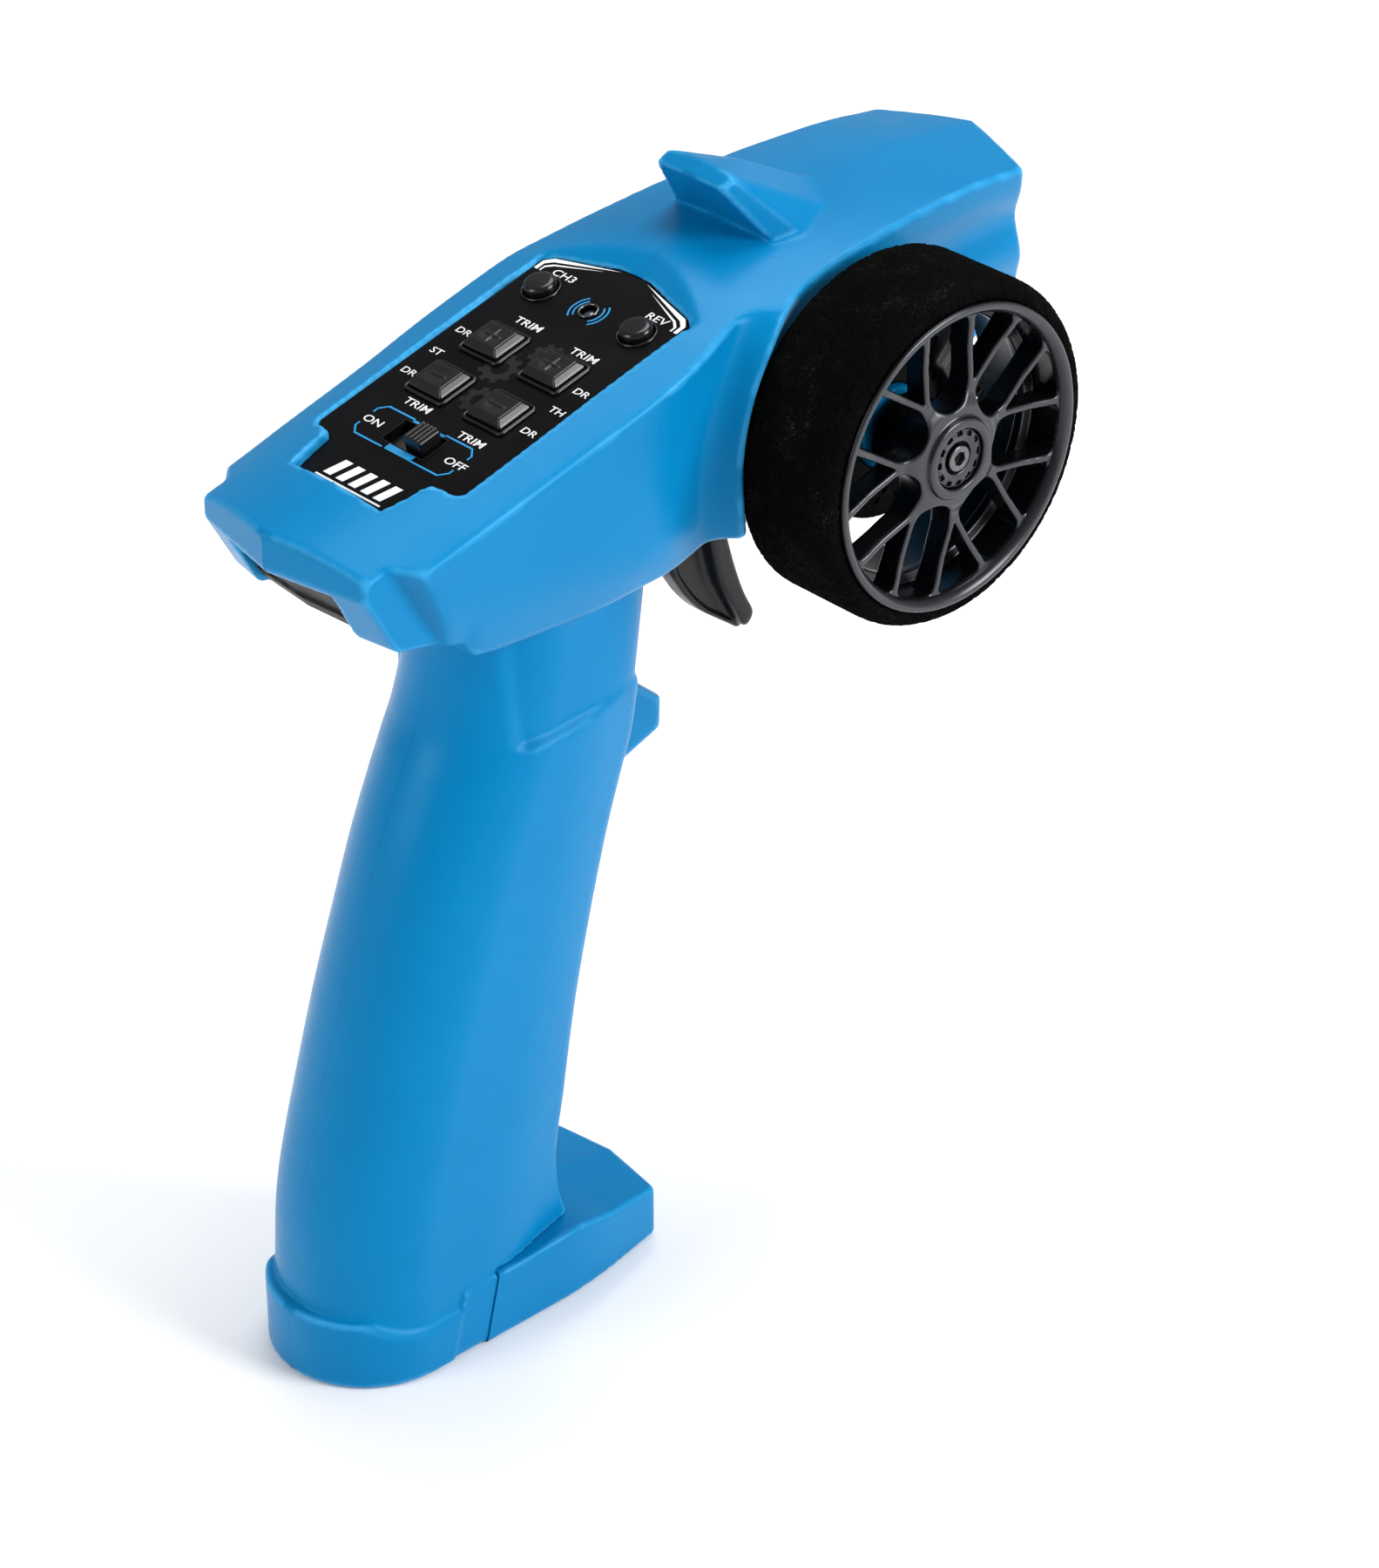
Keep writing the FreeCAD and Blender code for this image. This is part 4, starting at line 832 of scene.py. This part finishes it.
def make_door_and_insert():
    door = field_mesh("battery_door_shell", door_field, (-17.5, -11.0, -0.5), (17.5, 34.5, 14.5), 0.4)
    place = vertex_places(door)
    draw_seam(place, -SEAM_GAP, foot_field)
    finish_shell(door, place, "door", "door_blue", BLUE, "battery_door")
    low, high = (-13.0, -33.0, 134.0), (13.0, -19.0, 148.5)
    grown("back_insert", insert_field, low, high, 0.3, "case", "insert_black", INSERT_BLACK, "rear_insert")


# ---------------------------------------------------------------- steering wheel
SPOKES = 7
FIRST_WINDOW = math.radians(18.0)
WINDOW_RADIUS = 23.3
HUB_RADIUS = 6.7


def wheel_axes(y, z):
    """Distance from the axle and angle round it, from +Y towards +Z."""
    return axle_distance(y, z), np.arctan2(z - AXLE_Z, y - AXLE_Y)


def folded(radius, angle, start, count):
    """Folds the wheel into one of its equal sectors: along and across the sector's middle line."""
    sector = 2 * math.pi / count
    inside = np.mod(angle - start + sector / 2, sector) - sector / 2
    return radius * np.cos(inside), radius * np.sin(inside)


def spider_field(x, y, z):
    """Hub and seven forked spokes between V windows and long U windows."""
    radius, angle = wheel_axes(y, z)
    along, across = folded(radius, angle, FIRST_WINDOW, SPOKES)
    vee = (np.abs(across) - (along - 12.3) * 0.46) * 0.91
    along, across = folded(radius, angle, FIRST_WINDOW + math.pi / SPOKES, SPOKES)
    narrow = np.minimum(along - 12.3, 0)
    slot = length(across, narrow) - 4.2
    windows = join(meet(vee, radius - WINDOW_RADIUS, 1.2), meet(slot, radius - WINDOW_RADIUS, 1.2))
    face = RIM_FRONT - 1.45 + 0.55 * ramp(radius, 17, 23) + 0.5 * ramp(-radius, -11, -7.5)
    arms = cut(radius - 24.0, windows)
    # Each arm is highest along its middle, like a blade.
    crest = 0.45 * ramp(windows, -0.9, 0.0) * ramp(radius, 8.0, 11.0)
    solid = meet(meet(arms, x - face + crest, 0.45), RIM_FRONT - 6.4 + 0.6 * ramp(radius, 8, 20) - x, 0.4)
    hub = meet(radius - HUB_RADIUS, np.abs(x - (RIM_FRONT + RIM_BACK) / 2 - 2.85) - 6.65, 0.5)
    solid = join(solid, hub, 0.8)
    recess = meet(radius - 5.05, RIM_FRONT - 2.0 - x)
    solid = cut(solid, recess, 0.35)
    bore = meet(radius - 2.55, x - (RIM_FRONT - 3.0))
    return cut(cut(solid, bore), radius - 1.2)


def barrel_profile():
    """The rim's barrel in section: lip, foam seat, step behind the spokes."""
    back, front, lip = RIM_BACK, RIM_FRONT, LIP_RADIUS
    corners = [
        (back, lip - 0.5), (front - 2.0, lip - 0.5), (front - 1.5, lip - 0.05), (front - 0.1, lip - 0.05),
        (front, lip - 1.0), (front - 0.7, lip - 1.75), (front - 1.5, lip - 2.15), (front - 5.0, lip - 2.15),
        (front - 7.2, lip - 2.1), (front - 7.4, lip - 3.9), (front - 9.2, lip - 3.9), (front - 9.6, lip - 2.0),
        (back, lip - 2.0),
    ]
    return rounded(corners, [0.3, 0.2, 0.3, 0.5, 0.5, 0.5, 0.3, 0.3, 0.3, 0.4, 0.4, 0.3, 0.3], 4)


def lock_ring_field(x, y, z):
    """A ring with a crowned face and twelve notches for a pin spanner."""
    radius, angle = wheel_axes(y, z)
    front = RIM_FRONT - 0.45 - np.abs(radius - 4.0) * 0.25
    ring = meet(meet(radius - 4.9, 2.7 - radius), x - front, 0.2)
    along, across = folded(radius, angle, 0.0, 12)
    notch = meet(np.abs(across) - 0.55, np.abs(along - 4.25) - 0.4)
    notch = meet(notch, RIM_FRONT - 1.15 - x)
    return cut(meet(ring, RIM_FRONT - 1.95 - x), notch, 0.1)


def wheel_screw_field(x, y, z):
    """A cap screw with a hexagon socket, and its shank."""
    radius, angle = wheel_axes(y, z)
    head = meet(meet(radius - 2.2, x - (RIM_FRONT - 0.35), 0.35), RIM_FRONT - 1.95 - x)
    along, _ = folded(radius, angle, 0.2, 6)
    socket = meet(along - 1.05, RIM_FRONT - 1.5 - x)
    shank = meet(radius - 1.0, np.abs(x - (RIM_FRONT - 5.0)) - 4.6)
    return cut(join(head, shank), socket, 0.08)


def make_foam():
    """The foam tyre: flat tread, rounded shoulders and a torn, open-celled skin."""
    low, high = foam_low[0] - 0.3, foam_high[0] - 0.05
    tread, bore = FOAM_RADIUS + 0.7, LIP_RADIUS - 0.46
    corners = [
        (low, bore), (low, tread - 0.5), (low + 0.8, tread), (high - 2.2, tread), (high, tread - 1.5),
        (high, LIP_RADIUS + 0.15), (high - 1.4, bore),
    ]
    outline = rounded(corners, [0.0, 0.8, 0.8, 2.2, 1.5, 0.4, 0.2], 6)
    closed = np.array(outline + outline[:1])
    lengths = np.r_[0, np.cumsum(np.linalg.norm(np.diff(closed, axis=0), axis=1))]
    even = np.arange(0, lengths[-1], 0.42)
    profile = np.stack([np.interp(even, lengths, closed[:, k]) for k in (0, 1)], 1)
    piece = lathe("foam_tyre", profile, 400)
    place = vertex_values(piece, "co")
    outer = np.hypot(place[:, 1] - AXLE_Y * MM, place[:, 2] - AXLE_Z * MM) > (bore + 0.3) * MM
    roughness = np.random.default_rng(7).random(len(place))
    lift = (roughness ** 3 * 0.34 - 0.12) * outer * MM
    place += vertex_values(piece, "normal") * lift[:, None]
    piece.data.vertices.foreach_set("co", place.ravel())
    piece.data.update()
    return piece


def make_wheel():
    rim = ("steering_wheel", "rim_grey", RIM_GREY)
    box = about_axle(RIM_BACK + 5.0, RIM_FRONT + 0.4, 24.6)
    grown("wheel_spokes", spider_field, *box, 0.27, *rim, "wheel_rim")
    finish_piece(lathe("wheel_barrel", barrel_profile(), 180), *rim, "wheel_rim")
    box = about_axle(RIM_FRONT - 2.4, RIM_FRONT + 0.2, 5.2)
    grown("hub_lock_ring", lock_ring_field, *box, 0.1, *rim, "lock_ring")
    box = about_axle(RIM_FRONT - 10.0, RIM_FRONT + 0.2, 2.5)
    grown("hub_screw", wheel_screw_field, *box, 0.1, "steering_wheel", "steel", DARK_STEEL, "wheel_screw")
    foam = finish_piece(make_foam(), "steering_wheel", "foam_black", FOAM, "wheel_foam")


DISC_LOW, DISC_HIGH = frame_box("brake_disc")
DISC_RADIUS = (DISC_HIGH[1] - DISC_LOW[1]) / 2
DISC_MIDDLE = (DISC_LOW[0] + DISC_HIGH[0]) / 2


def disc_field(x, y, z):
    """The brake disc, with two rings of drilled holes."""
    radius, angle = wheel_axes(y, z)
    disc = meet(radius - DISC_RADIUS, np.abs(x - DISC_MIDDLE) - 0.58, 0.15)
    for row, start in ((12.9, 0.0), (11.2, 0.13)):
        along, across = folded(radius, angle, start, 18)
        disc = cut(disc, length(along - row, across) - 0.5, 0.1)
    return cut(disc, radius - 7.03)


def caliper_field(x, y, z):
    """The caliper: a block across the disc's edge, thinner at its ends, with a piston ring and a slot."""
    radius, angle = wheel_axes(y, z)
    middle = math.radians(25.0)
    turn = angle - middle
    ends = (np.abs(turn) - math.radians(24.0)) * radius
    depth = 2.7 + 0.45 * ramp(-np.abs(turn), -0.30, -0.24)
    thick = np.abs(x - DISC_MIDDLE) - depth
    block = meet(meet(radius - 18.8, 11.7 - radius, 0.8), meet(ends, thick, 0.6), 0.6)
    piston_y = AXLE_Y + 14.8 * math.cos(middle)
    piston_z = AXLE_Z + 14.8 * math.sin(middle)
    ring = length(y - piston_y, z - piston_z)
    block = cut(block, meet(np.abs(ring - 2.0) - 0.22, DISC_MIDDLE + 2.6 - x), 0.1)
    groove = meet(radius - DISC_RADIUS - 0.2, np.abs(x - DISC_MIDDLE) - 0.75)
    return cut(block, groove, 0.1)


def bolt_field(x, y, z):
    """Two small socket bolts that hold the caliper."""
    def bolt(degrees):
        a = math.radians(degrees)
        ring = length(y - AXLE_Y - 17.0 * math.cos(a), z - AXLE_Z - 17.0 * math.sin(a))
        head = meet(ring - 1.25, np.abs(x - DISC_MIDDLE - 2.9) - 0.7, 0.15)
        return cut(head, meet(ring - 0.55, DISC_MIDDLE + 2.8 - x), 0.05)

    return join(bolt(5.5), bolt(44.5))


def make_brake():
    box = about_axle(DISC_MIDDLE - 3.8, DISC_MIDDLE + 4.2, 19.4)
    grown("drilled_disc", disc_field, *box, 0.25, "case", "insert_black", INSERT_BLACK, "brake_disc")
    grown("cast_caliper", caliper_field, *box, 0.22, "case", "rim_grey", CALIPER_GREY, "brake_caliper")
    grown("caliper_bolts", bolt_field, *box, 0.16, "case", "steel", BLACK_SATIN)
    boss = rounded([(18.0, 4.55), (18.0, 6.95), (29.4, 6.95), (29.4, 4.55)], [0, 0, 0.7, 0.2])
    finish_piece(lathe("shaft_boss", boss, 96), "case", "case_blue", BLUE, "right_shell")


# ---------------------------------------------------------------- trigger
TRIGGER_FRONT = (
    (100, 64.3), (104.8, 62.8), (110.2, 60.1), (114.6, 58.4), (119.8, 56.8),
    (124.5, 55.6), (134, 54.0), (150, 52.4),
)
TRIGGER_INNER = (
    (100, 61.6), (103.2, 60.2), (106.5, 58.4), (110.4, 56.2), (115, 54.1),
    (120, 52.7), (126, 51.6), (150, 50.0),
)
TRIGGER_WEB = (
    (100, 63.6), (102.5, 60.6), (105.5, 56.6), (109.0, 52.2), (113.8, 48.3),
    (118.6, 45.9), (124, 45.3), (150, 45.4),
)


def trigger_field(x, y, z):
    """A broad, crowned finger face, a thin web behind it with a beaded back edge, and the hub."""
    side = np.abs(x)
    front, inner, web = smooth(TRIGGER_FRONT, z), smooth(TRIGGER_INNER, z), smooth(TRIGGER_WEB, z)
    steep = 0.9
    tip = (y - 60.5) * 0.72 - (z - 102.4) * 0.69
    hollow = 0.55 * ramp(-side, -3.4, -1.0)
    face = (y - front) * steep + hollow * ramp(-z, -128, -122)
    flange = meet(meet(face, (inner - y) * steep, 0.9), side - 4.5, 1.1)
    flange = meet(meet(flange, tip, 2.4), z - 128.5, 0.8)
    plate = meet(meet((y - front) * steep + 0.5, (web - y) * steep, 0.4), side - 1.5, 0.4)
    bead = meet(meet((web - y) * steep, (y - web - 1.2) * steep, 0.5), side - 2.1, 0.5)
    plate = meet(join(plate, bead, 0.5), tip, 0.8)
    from_pivot = length(y - PIVOT_Y, z - PIVOT_Z)
    plate = join(meet(plate, z - PIVOT_Z), meet(from_pivot - 4.0, side - 4.5, 0.4), 1.0)
    return cut(join(flange, plate, 1.0), from_pivot - 1.56)


def make_trigger():
    box = (-5.4, 43.8, 100.0), (5.4, 66.0, 151.0)
    finish = ("trigger_lever", "trigger_black", BLACK_SATIN, "trigger")
    grown("finger_trigger", trigger_field, *box, 0.25, *finish)


# ---------------------------------------------------------------- keys, rings and switch
def panel_piece(name, field, low, high, step, *finish):
    """A piece grown in the panel's own axes (across, up the slope, out) and then stood on the panel."""
    piece = field_mesh(name, field, low, high, step)
    piece.data.transform(PANEL)
    finish_piece(piece, *finish)


def about(at_x, at_y, half_x, half_y, low, high):
    """Corners of a box that is centred on a place on the panel."""
    return (at_x - half_x, at_y - half_y, low), (at_x + half_x, at_y + half_y, high)


TRIM_X, TRIM_UPPER, TRIM_LOWER = 6.8, 38.1, 26.7
BUTTON_X, BUTTON_ROW = 11.0, 51.7
SWITCH_ROW, KNOB_X = 15.3, 2.2
TRIM_KEYS = (
    ("steering_trim_plus", -TRIM_X, TRIM_UPPER, True),
    ("steering_trim_minus", -TRIM_X, TRIM_LOWER, False),
    ("throttle_trim_plus", TRIM_X, TRIM_UPPER, True),
    ("throttle_trim_minus", TRIM_X, TRIM_LOWER, False),
)
ROUND_KEYS = (("channel_button", -BUTTON_X), ("reverse_button", BUTTON_X))
CAP_HALF_X, CAP_HALF_Y, CAP_TOP = 3.85, 3.25, 1.9
CAP_BOTTOM, KEY_BOTTOM = -1.2, -4.0


def bar_field(a, b, half_a, half_b):
    return meet(np.abs(a) - half_a, np.abs(b) - half_b)


def stem_field(radius, z):
    """The round stem below a key."""
    return meet(radius - 1.2, np.abs(z + 2.4) - 1.35)


def seated(wall, z, top, r):
    """A low wall that stands on the panel, with its upper edges rounded."""
    return meet(meet(wall, z - top, r), 0.02 - z)


def make_trim_key(name, at_x, at_y, plus):
    """A key with broad bevels, a dished top and a raised sign."""
    def field(x, y, z):
        across, up = x - at_x, y - at_y
        a, b = np.abs(across), np.abs(up)
        dish = 0.16 * ramp(-length(across, up * 1.2), -2.8, -0.5)
        block = meet(meet(a - CAP_HALF_X, b - CAP_HALF_Y, 0.45), z - CAP_TOP + dish, 0.12)
        sides = np.maximum((a - CAP_HALF_X + 0.85) * 0.78, (b - CAP_HALF_Y + 0.85) * 0.78)
        block = meet(block, sides + (z - CAP_TOP) * 0.62, 0.15)
        sign = bar_field(across, up, 1.7, 0.2)
        if plus:
            sign = join(sign, bar_field(across, up, 0.2, 1.7))
        block = join(block, meet(sign, z - CAP_TOP - 0.02), 0.08)
        return join(meet(block, CAP_BOTTOM - z), stem_field(length(across, up), z))

    box = about(at_x, at_y, 4.1, 3.5, KEY_BOTTOM, 2.2)
    panel_piece(name + "_cap", field, *box, 0.11, name + "_key", "key_black", KEY_BLACK, name)


def make_round_key(name, at_x):
    """A domed push button with a soft shoulder."""
    def field(x, y, z):
        radius = length(x - at_x, y - BUTTON_ROW)
        dome = z - CAP_TOP + 0.02 * radius ** 2
        return join(meet(meet(radius - 2.7, dome, 0.9), CAP_BOTTOM - z), stem_field(radius, z))

    box = about(at_x, BUTTON_ROW, 3.0, 3.0, KEY_BOTTOM, 2.2)
    panel_piece(name + "_cap", field, *box, 0.1, name + "_key", "key_black", KEY_BLACK, name)


def make_bezels():
    """Thin glossy frames round the keys, and the lamp with its ring."""
    def frames(x, y, z):
        walls = []
        for _, at_x, at_y, _ in TRIM_KEYS:
            a, b = np.abs(x - at_x), np.abs(y - at_y)
            outer = meet(a - CAP_HALF_X - 0.78, b - CAP_HALF_Y - 0.78, 1.0)
            inner = meet(a - CAP_HALF_X - 0.16, b - CAP_HALF_Y - 0.16, 0.4)
            walls.append(seated(cut(outer, inner), z, 0.62, 0.4))
        return functools.reduce(join, walls)

    def rings(x, y, z):
        radius = length(np.abs(x) - BUTTON_X, y - BUTTON_ROW)
        return seated(meet(radius - 3.3, 2.86 - radius), z, 0.42, 0.3)

    def lamp_ring(x, y, z):
        radius = length(x, y - BUTTON_ROW)
        return seated(meet(radius - 1.75, 1.32 - radius), z, 0.4, 0.25)

    def lens(x, y, z):
        radius = length(x, y - BUTTON_ROW)
        return meet(meet(radius - 1.27, z + 0.25 + 0.28 * radius ** 2, 0.2), -5.8 - z)

    glossy = ("case", "key_black", KEY_BLACK)
    reach_x, reach_y = TRIM_X + CAP_HALF_X + 1.2, CAP_HALF_Y + 1.2
    low, high = (-reach_x, TRIM_LOWER - reach_y, -0.2), (reach_x, TRIM_UPPER + reach_y, 0.9)
    panel_piece("key_frames", frames, low, high, 0.14, *glossy, "trim_bezels")
    box = about(0.0, BUTTON_ROW, 14.6, 3.6, -0.2, 0.7)
    panel_piece("button_frames", rings, *box, 0.1, *glossy, "button_rings")
    box = about(0.0, BUTTON_ROW, 2.0, 2.0, -0.2, 0.6)
    panel_piece("lamp_ring", lamp_ring, *box, 0.07, "case", "steel", DARK_STEEL)
    box = about(0.0, BUTTON_ROW, 1.6, 1.6, -6.2, 0.2)
    panel_piece("lamp_lens", lens, *box, 0.1, "case", "lamp_clear", LAMP, "status_lamp")


def make_power_knob():
    """The slide switch's ribbed thumb piece."""
    half, top, pitch = 2.05, 2.55, 0.9

    def field(x, y, z):
        a, b = np.abs(x - KNOB_X), np.abs(y - SWITCH_ROW)
        block = meet(meet(a - half, b - half, 0.3), z - top, 0.25)
        block = meet(block, (a - half + 0.5) * 0.7 + (z - top) * 0.7, 0.1)
        rib = np.mod(x - KNOB_X + pitch / 2, pitch) - pitch / 2
        groove = meet(meet(np.abs(rib) - 0.14, 2.25 - z), a - 1.5)
        return cut(meet(block, -1.7 - z), groove, 0.08)

    box = about(KNOB_X, SWITCH_ROW, 2.4, 2.4, -2.0, 2.9)
    panel_piece("switch_thumb", field, *box, 0.09, "power_slider", "key_black", KEY_BLACK, "power_knob")


# ---------------------------------------------------------------- print on the panel
PRINT_LOW, PRINT_HIGH = 0.015, 0.05
LETTER_WIDENING = 1.28


def band(points, width):
    """A flat strip of one width along a line of points, as quads' corner lists."""
    line = np.array(points, float)
    along = np.gradient(line, axis=0)
    along /= np.linalg.norm(along, axis=1)[:, None]
    across = np.stack([-along[:, 1], along[:, 0]], 1) * width / 2
    left, right = line + across, line - across
    return [[left[i], right[i], right[i + 1], left[i + 1]] for i in range(len(line) - 1)]


def arc_points(centre, radius, start, end):
    angles = np.radians(np.linspace(start, end, 14))
    return [(centre[0] + radius * math.cos(a), centre[1] + radius * math.sin(a)) for a in angles]


def word(text, at, height):
    """Letters as flat faces, centred on a point."""
    curve = bpy.data.curves.new("word", "FONT")
    curve.body = text
    curve.align_x, curve.align_y = "CENTER", "CENTER"
    curve.size = height * 1.38
    curve.offset = 0.008
    curve.shear = 0.04
    curve.resolution_u = 3
    holder = add_object("word", curve)
    bpy.context.view_layer.update()
    mesh = bpy.data.meshes.new_from_object(holder.evaluated_get(bpy.context.evaluated_depsgraph_get()))
    places = [(vertex.co.x * LETTER_WIDENING + at[0], vertex.co.y + at[1]) for vertex in mesh.vertices]
    faces = [[places[i] for i in face.vertices] for face in mesh.polygons]
    bpy.data.objects.remove(holder)
    bpy.data.curves.remove(curve)
    bpy.data.meshes.remove(mesh)
    return faces


def print_piece(name, faces, material, low=PRINT_LOW, high=PRINT_HIGH):
    """Thin solid shapes that lie on the panel, from flat faces in the panel's axes."""
    index, rings = {}, []
    for corners in faces:
        corners = [(round(float(a), 5), round(float(b), 5)) for a, b in corners]
        turn = sum(a * d - c * b for (a, b), (c, d) in zip(corners, corners[1:] + corners[:1]))
        rings.append([index.setdefault(place, len(index)) for place in corners][::1 if turn > 0 else -1])
    edges = [pair for ring in rings for pair in zip(ring, ring[1:] + ring[:1])]
    shared = collections.Counter(map(frozenset, edges))
    up = len(index)
    solid = [ring[::-1] for ring in rings] + [[v + up for v in ring] for ring in rings]
    # A wall stands on every edge that belongs to one face only.
    solid += [[a, b, b + up, a + up] for a, b in edges if shared[frozenset((a, b))] == 1]
    mesh = bpy.data.meshes.new(name)
    mesh.from_pydata([(a * MM, b * MM, height * MM) for height in (low, high) for a, b in index], [], solid)
    mesh.transform(PANEL)
    finish_piece(add_object(name, mesh), "case", "panel_black", material)


def gear_faces(centre, radius, teeth, start):
    """A plain gear ring with square teeth."""
    faces = []
    for k in range(teeth * 4):
        a, b = (2 * math.pi * (k + s) / (teeth * 4) + start for s in (0, 1))
        outer = radius if k % 4 < 2 else radius * 0.8
        inner = radius * 0.42
        spots = [(outer, a), (outer, b), (inner, b), (inner, a)]
        faces.append([(centre[0] + r * math.cos(t), centre[1] + r * math.sin(t)) for r, t in spots])
    return faces


# Two pale stripes that widen towards the panel's upper corner.
CHEVRON = (
    ((3.0, 61.45), (14.9, 58.35), (16.3, 57.0), (16.3, 55.0), (15.6, 55.0), (15.6, 56.6), (14.4, 57.6)),
    ((5.5, 60.1), (13.9, 57.2), (15.1, 56.2), (15.1, 55.0), (14.8, 55.0), (14.8, 55.9), (13.6, 56.9)),
)
WORDS = (
    ("CH3", -10.2, 55.9), ("REV", 10.9, 56.0), ("TRIM", -5.9, 44.3), ("TRIM", 7.7, 43.5), ("DR", -13.7, 37.6),
    ("ST", -13.7, 31.9), ("DR", -13.7, 26.1), ("TRIM", -5.9, 21.1), ("DR", 14.2, 36.9), ("TH", 14.2, 31.8),
    ("DR", 14.2, 26.0), ("TRIM", 7.8, 19.9), ("ON", -9.2, 14.8), ("OFF", 10.0, 14.7),
)


def switch_lines():
    """The blue frame round the power switch: four bent lines, a bar above and a block below."""
    faces = []
    low, high = 11.4, 18.6
    for side in (-1, 1):
        for start, edge, inwards in ((3.6, high, -1), (3.2, low, 1)):
            bend, end = (side * 10.9, edge + inwards * 1.3), (side * 10.9, edge + inwards * 2.2)
            faces += band([(side * start, edge), (side * 9.6, edge), bend, end], 0.32)
    for left, right, base, top in ((-3.6, 3.6, high - 0.1, high - 0.65), (-2.6, 3.4, low - 0.1, low + 1.2)):
        faces.append([(left, base), (right, base), (right, top), (left, top)])
    return faces


def make_print():
    white = []
    for text, a, b in WORDS:
        white += word(text, (a, b), 1.35 if text in ("DR", "ST", "TH") else 1.5)
    print_piece("printed_words", white, PRINT_WHITE)
    stripes = [[(side * a, b) for a, b in line] for side in (-1, 1) for line in CHEVRON]
    print_piece("printed_stripes", stripes, PRINT_WHITE)
    # A plain emblem of slanted bars fills the tongue.
    emblem = []
    for k in range(5):
        left, width = -6.6 + 2.9 * k, 1.7
        emblem.append([(left, 2.4), (left + width, 2.4), (left + width + 1.1, 6.2), (left + 1.1, 6.2)])
    emblem += band([(-7.4, 1.6), (7.6, 1.6)], 0.35)
    print_piece("printed_emblem", emblem, PRINT_WHITE)
    waves = []
    for radius in (2.5, 3.3):
        for middle in (0, 180):
            waves += band(arc_points((0.0, BUTTON_ROW), radius, middle - 48, middle + 48), 0.28)
    print_piece("printed_lines", waves + switch_lines(), PRINT_BLUE)
    grey = []
    for gear in (((-1.6, 34.4), 3.5, 9, 0.1), ((2.6, 40.2), 3.0, 8, 0.3), ((1.4, 27.2), 3.1, 8, 0.2)):
        grey += gear_faces(*gear)
    print_piece("printed_gears", grey, PRINT_GREY, 0.008, 0.014)
    rim = [(-4.7, -2.5), (4.7, -2.5), (4.7, 2.5), (-4.7, 2.5), (-4.7, -2.5)]
    rim = [(a * 1.04, b * 1.08 + SWITCH_ROW) for a, b in rim]
    outline = [face for ends in zip(rim, rim[1:]) for face in band(ends, 0.16)]
    print_piece("switch_outline", outline, PRINT_GREY)


make_half_case("left_shell", -1)
make_half_case("right_shell", 1)
make_door_and_insert()
make_wheel()
make_brake()
make_trigger()
for key in TRIM_KEYS:
    make_trim_key(*key)
for key in ROUND_KEYS:
    make_round_key(*key)
make_bezels()
make_power_knob()
make_print()


# ---------------------------------------------------------------- camera, light and floor, in metres
FLOOR_HALF, FLOOR_DROP = 2.5, 0.0002
LIT_PLACE = (0.0, 0.03, 0.12)
CAMERA_PLACE = (0.47171, -0.38618, 0.46780)
CAMERA_TURN, CAMERA_RISE = math.radians(47.139), math.radians(31.383)


def make_stage():
    mesh = bpy.data.meshes.new("floor")
    corners = [(-1, -1), (1, -1), (1, 1), (-1, 1)]
    mesh.from_pydata([(x * FLOOR_HALF, y * FLOOR_HALF, -FLOOR_DROP) for x, y in corners], [], [(0, 1, 2, 3)])
    floor = add_object("floor", mesh)
    kit = Shader("floor_paper", Roughness=0.9)
    tone = kit.colours(kit.noise(3.0, 2.0), (0.3, (0.90, 0.90, 0.905)), (0.7, (0.92, 0.92, 0.925)))
    mesh.materials.append(kit.finish(tone))


def add_light(name, place, size, power):
    light = bpy.data.lights.new(name, "AREA")
    light.shape = "RECTANGLE"
    light.size, light.size_y = size
    light.energy = power
    lamp = add_object(name, light)
    lamp.location = place
    lamp.rotation_euler = (Vector(LIT_PLACE) - Vector(place)).to_track_quat("-Z", "Y").to_euler()


def make_camera():
    camera = bpy.data.cameras.new("camera")
    camera.lens = 104.0
    camera.sensor_width = 36.0
    camera.clip_start = 0.01
    viewer = add_object("camera", camera)
    right = Vector((math.cos(CAMERA_TURN), math.sin(CAMERA_TURN), 0))
    level = math.cos(CAMERA_RISE)
    back = Vector((math.sin(CAMERA_TURN) * level, -math.cos(CAMERA_TURN) * level, math.sin(CAMERA_RISE)))
    facing = Matrix((right, back.cross(right), back)).transposed().to_4x4()
    viewer.matrix_world = Matrix.Translation(CAMERA_PLACE) @ facing
    bpy.context.scene.camera = viewer


def make_lights():
    add_light("key", (1.68, 0.8, 1.0), (0.9, 1.1), 42.0)
    add_light("fill", (-0.56, -1.9, 1.0), (1.0, 1.3), 23.0)
    add_light("top", (-0.3, 0.7, 1.9), (1.3, 1.3), 28.0)
    world = bpy.data.worlds.new("world")
    bpy.context.scene.world = world
    world.use_nodes = True
    backdrop = world.node_tree.nodes["Background"].inputs
    backdrop["Color"].default_value = (1.0, 1.0, 1.0, 1.0)
    backdrop["Strength"].default_value = 0.36


bpy.context.scene.view_settings.view_transform = "Standard"
make_stage()
make_camera()
make_lights()
